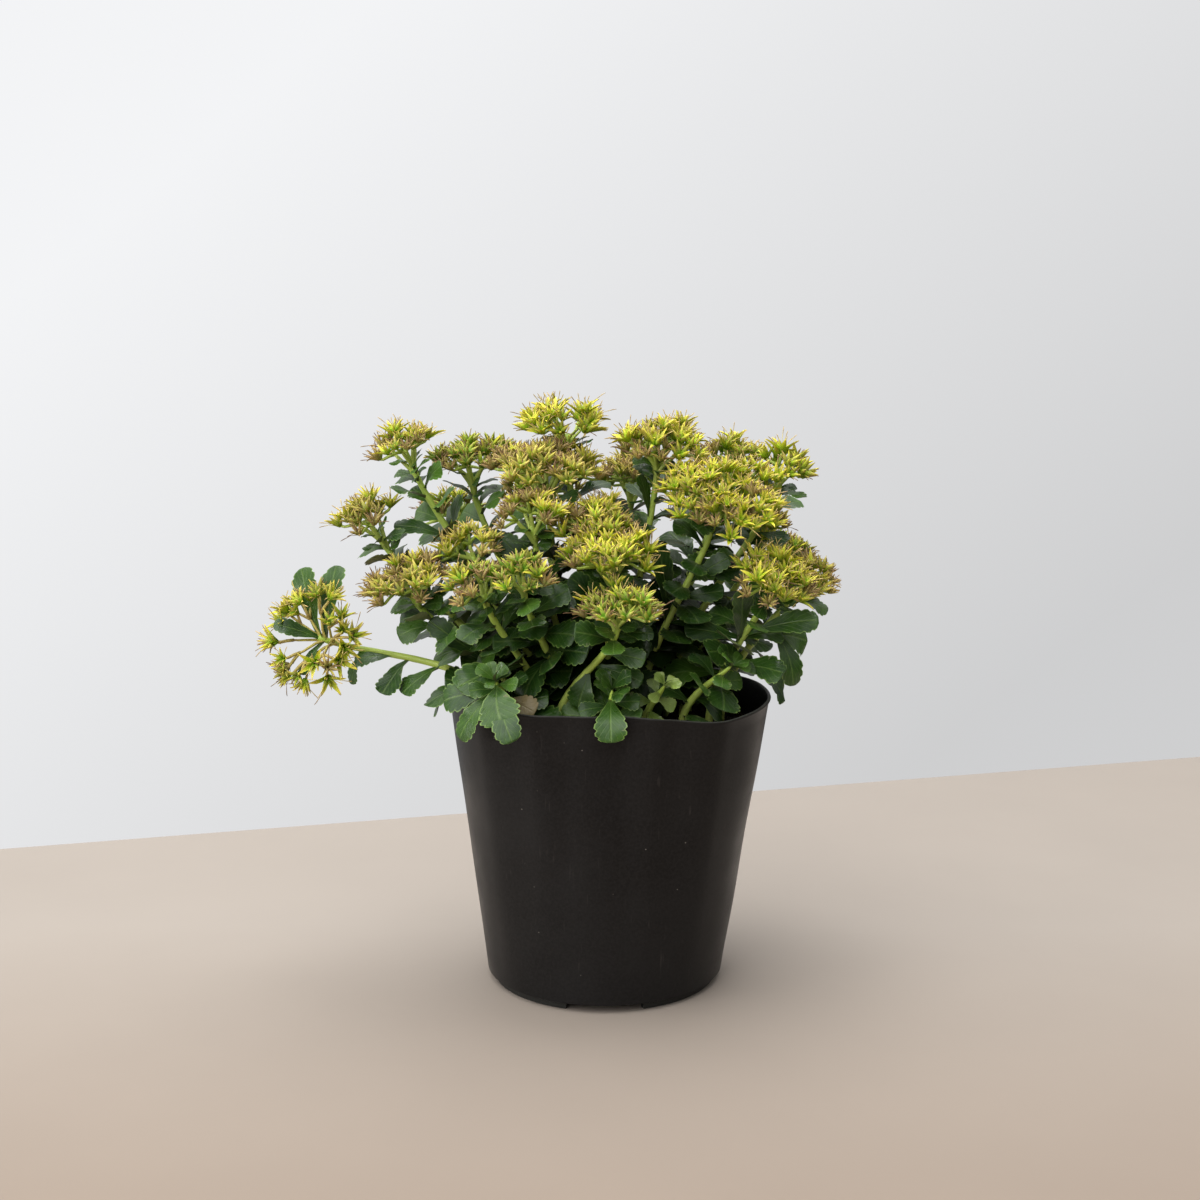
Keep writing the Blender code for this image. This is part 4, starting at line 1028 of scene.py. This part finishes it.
posed = [poseLeaves(k, path, np.random.default_rng(leafLook["firstDraw"])) for k, path in enumerate(paths, 1)]
taken = np.concatenate([taken] + [rings[:, 3::2, 2].reshape(-1, 3) for rings in posed])
leafCount = 0
skipped = []
for number, path in enumerate(paths, 1):
    draw = np.random.default_rng(leafLook["firstDraw"] + number)
    onHead = number <= len(plan)
    young = number == shootLook["young"]
    length = np.linalg.norm(np.diff(path, axis=0), axis=1).sum()
    count = round(length * leafLook["perMetre"]) if onHead else shootLook["leaves"]
    heights = np.linspace(0, 1, count)
    if onHead:
        shares = np.linspace(leafLook["firstAt"], leafLook["lastAt"], count) ** 0.9
        sizes = leafLook["longest"] + (leafLook["shortest"] - leafLook["longest"]) * heights**1.5
        leafy = shares < leafLook["bareFrom"].get(number, 1.0)
        leafy &= shares > leafLook["bareTo"].get(number, 0.0)
        shares, sizes, heights = shares[leafy], sizes[leafy], heights[leafy]
    else:
        shares = np.linspace(shootLook["firstAt"], 1.0, count)
        sizes = np.linspace(*shootLook["youngSizes" if young else "sizes"], count)
    rings = [posed[number - 1], growLeaves(path, shares, sizes, draw, heights)]
    if number not in leafLook["bareFrom"]:
        ends = (leafLook["bractsFrom"], 0.985) if onHead else (0.985, 1.0)
        places = np.linspace(*ends, leafLook["bracts"])
        sizes = draw.uniform(*(shootLook["topSizes"] if young else leafLook["bractLength"]), len(places))
        lift = leafLook["bractLift"] if onHead else shootLook["topLift"]
        rings.append(growLeaves(path, places, sizes, draw, 0.3 + 0 * places, lift))
    rings = np.concatenate(rings)
    leafCount += len(rings)
    name = f"leafy_stem_{number:02d}" if onHead else f"young_shoot_{number - len(plan):02d}"
    parts = [stemPart(path, draw, onHead)]
    parts.append(leafPart(rings, draw, len(posed[number - 1]), leafLook["withered"].get(number)))
    item = makePiece(name, parts, [stemGreen, youngGreen if young else leafGreen])
    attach(item, "root")
    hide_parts(f"stem_{number:02d}" if onHead else f"shoot_{number - len(plan):02d}")
print("leaves made:", leafCount, "left out:", len(skipped))

# Floor, light and camera.
stageLook = {
    # painted shade: the floor's colour darkens towards the camera, from its back colour to its front one,
    # across the floorShade span of y
    "floorShadedFront": (0.243, 0.178, 0.129), "floorBack": (0.360, 0.317, 0.279), "floorShade": (-0.38, 0.05),
    # the wall that only the camera sees carries painted light and shade: its lit colour at the left and top,
    # its shaded colour to the right and lower down, blended across wallFade
    "wallLitLeft": (0.898, 0.905, 0.920), "wallShadedRight": (0.620, 0.622, 0.628), "wallFade": (-0.305, 0.395),
    # how strongly the room lights the plant from either side and from above
    "skyLeft": 0.50, "skyRight": 0.03, "skyTop": 0.92, "skyColour": (0.985, 0.98, 0.975),
    "edge": ((-0.33, 0.178), (0.40, 0.387)),   # two points of the floor's far edge, round the pot's axis
    "camera": (-0.002, -0.70, 0.269), "pitch": 81.5, "lens": 49.8, "sensor": 36.0,
    "lightsAimAt": (0, 0, 0.13),
    # name, place, size, spread in degrees, power, colour
    "lights": [
        ("key_light", (-0.75, -0.50, 1.45), 2.4, 180, 23.0, (1.0, 0.985, 0.96)),
        ("fill_light", (-0.42, -1.15, 0.65), 0.9, 180, 3.0, (0.97, 0.985, 1.0)),
        ("side_light", (-1.10, -0.60, 0.22), 0.35, 60, 0.33, (1.0, 0.99, 0.97)),
        ("top_light", (0.05, 0.35, 1.5), 1.0, 180, 13.0, (1.0, 1.0, 1.0)),
    ],
}


# The floor is a wide card that ends behind the pot on a slanting line; beyond it the room shows as a pale wall.
def makeFloor():
    (x0, y0), (x1, y1) = stageLook["edge"]
    along = unit(np.array([x1 - x0, y1 - y0, 0.0]))
    middle = np.array([(x0 + x1) / 2, (y0 + y1) / 2, 0.0])
    front = np.array([along[1], -along[0], 0.0]) * 4
    left, right = middle - along * 3, middle + along * 3
    mesh = bpy.data.meshes.new("floor")
    mesh.from_pydata(np.array([left, right, right + front, left + front]) + potPlace, [], [(3, 2, 1, 0)])
    floor = bpy.data.objects.new("floor", mesh)
    bpy.context.scene.collection.objects.link(floor)
    card = Finish("floor_card", 0.72, specular=0.3)
    paper = card.grey(card.between(card.noise(9.0, 6.0), 0.35, 0.65, 0.985, 1.015))
    # painted shade: the floor's colour darkens from the back towards the front
    far = card.add("ShaderNodeSeparateXYZ", Vector=card.place()).outputs["Y"]
    far = card.between(far, *stageLook["floorShade"])
    colour = card.blend(far, stageLook["floorShadedFront"], stageLook["floorBack"])
    card.give(Base_Color=card.blend(1.0, colour, paper, "MULTIPLY"))
    mesh.materials.append(card.material)
    floor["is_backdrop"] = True


# The camera sees the wall with painted light and shade, lighter at the left and top and darker to the right and
# lower down; everything else is lit by a room that is brighter above and to the left.
def makeRoom():
    world = bpy.data.worlds.new("studio")
    world.use_nodes = True
    bpy.context.scene.world = world
    room = Nodes(world.node_tree)
    room.tree.nodes.clear()
    way = room.add("ShaderNodeTexCoord").outputs["Generated"]
    way = room.add("ShaderNodeSeparateXYZ", Vector=way).outputs
    # painted light and shade on the wall: lighter to the left and up, darker to the right and down
    share = room.between(room.minus(room.times(way["X"], 0.84), way["Z"]), *stageLook["wallFade"])
    wall = room.blend(share, stageLook["wallLitLeft"], stageLook["wallShadedRight"])
    seen = room.add("ShaderNodeBackground", Color=wall)
    strength = room.between(way["X"], -0.7, 0.7, stageLook["skyLeft"], stageLook["skyRight"])
    strength = room.plus(strength, room.between(way["Z"], 0.1, 1.0, 0.0, stageLook["skyTop"]))
    light = room.add("ShaderNodeBackground", Color=stageLook["skyColour"], Strength=strength)
    mix = room.add("ShaderNodeMixShader", Fac=room.add("ShaderNodeLightPath").outputs["Is Camera Ray"])
    room.put(mix.inputs[1], light.outputs[0])
    room.put(mix.inputs[2], seen.outputs[0])
    room.add("ShaderNodeOutputWorld", Surface=mix.outputs[0])


# The lights are round and look at the middle of the plant; the camera looks down by the pitch, short of 90.
def makeLightsAndCamera():
    scene = bpy.context.scene
    target = potPlace + stageLook["lightsAimAt"]
    for name, place, size, spread, power, colour in stageLook["lights"]:
        data = bpy.data.lights.new(name, "AREA")
        data.shape = "DISK"
        data.size = size
        data.spread = math.radians(spread)
        data.energy = power
        data.color = colour
        lamp = bpy.data.objects.new(name, data)
        scene.collection.objects.link(lamp)
        lamp.location = potPlace + place
        way = unit(target - lamp.location)
        lamp.rotation_euler = (math.acos(-way[2]), 0, math.atan2(-way[0], way[1]))
    data = bpy.data.cameras.new("camera")
    data.lens = stageLook["lens"]
    data.sensor_width = stageLook["sensor"]
    camera = bpy.data.objects.new("camera", data)
    scene.collection.objects.link(camera)
    camera.location = potPlace + stageLook["camera"]
    camera.rotation_euler = (math.radians(stageLook["pitch"]), 0, 0)
    scene.camera = camera
    scene.view_settings.view_transform = "Standard"
    scene.view_settings.look = "None"


makeFloor()
makeRoom()
makeLightsAndCamera()
print("stage, lights and camera ready")

low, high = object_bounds()
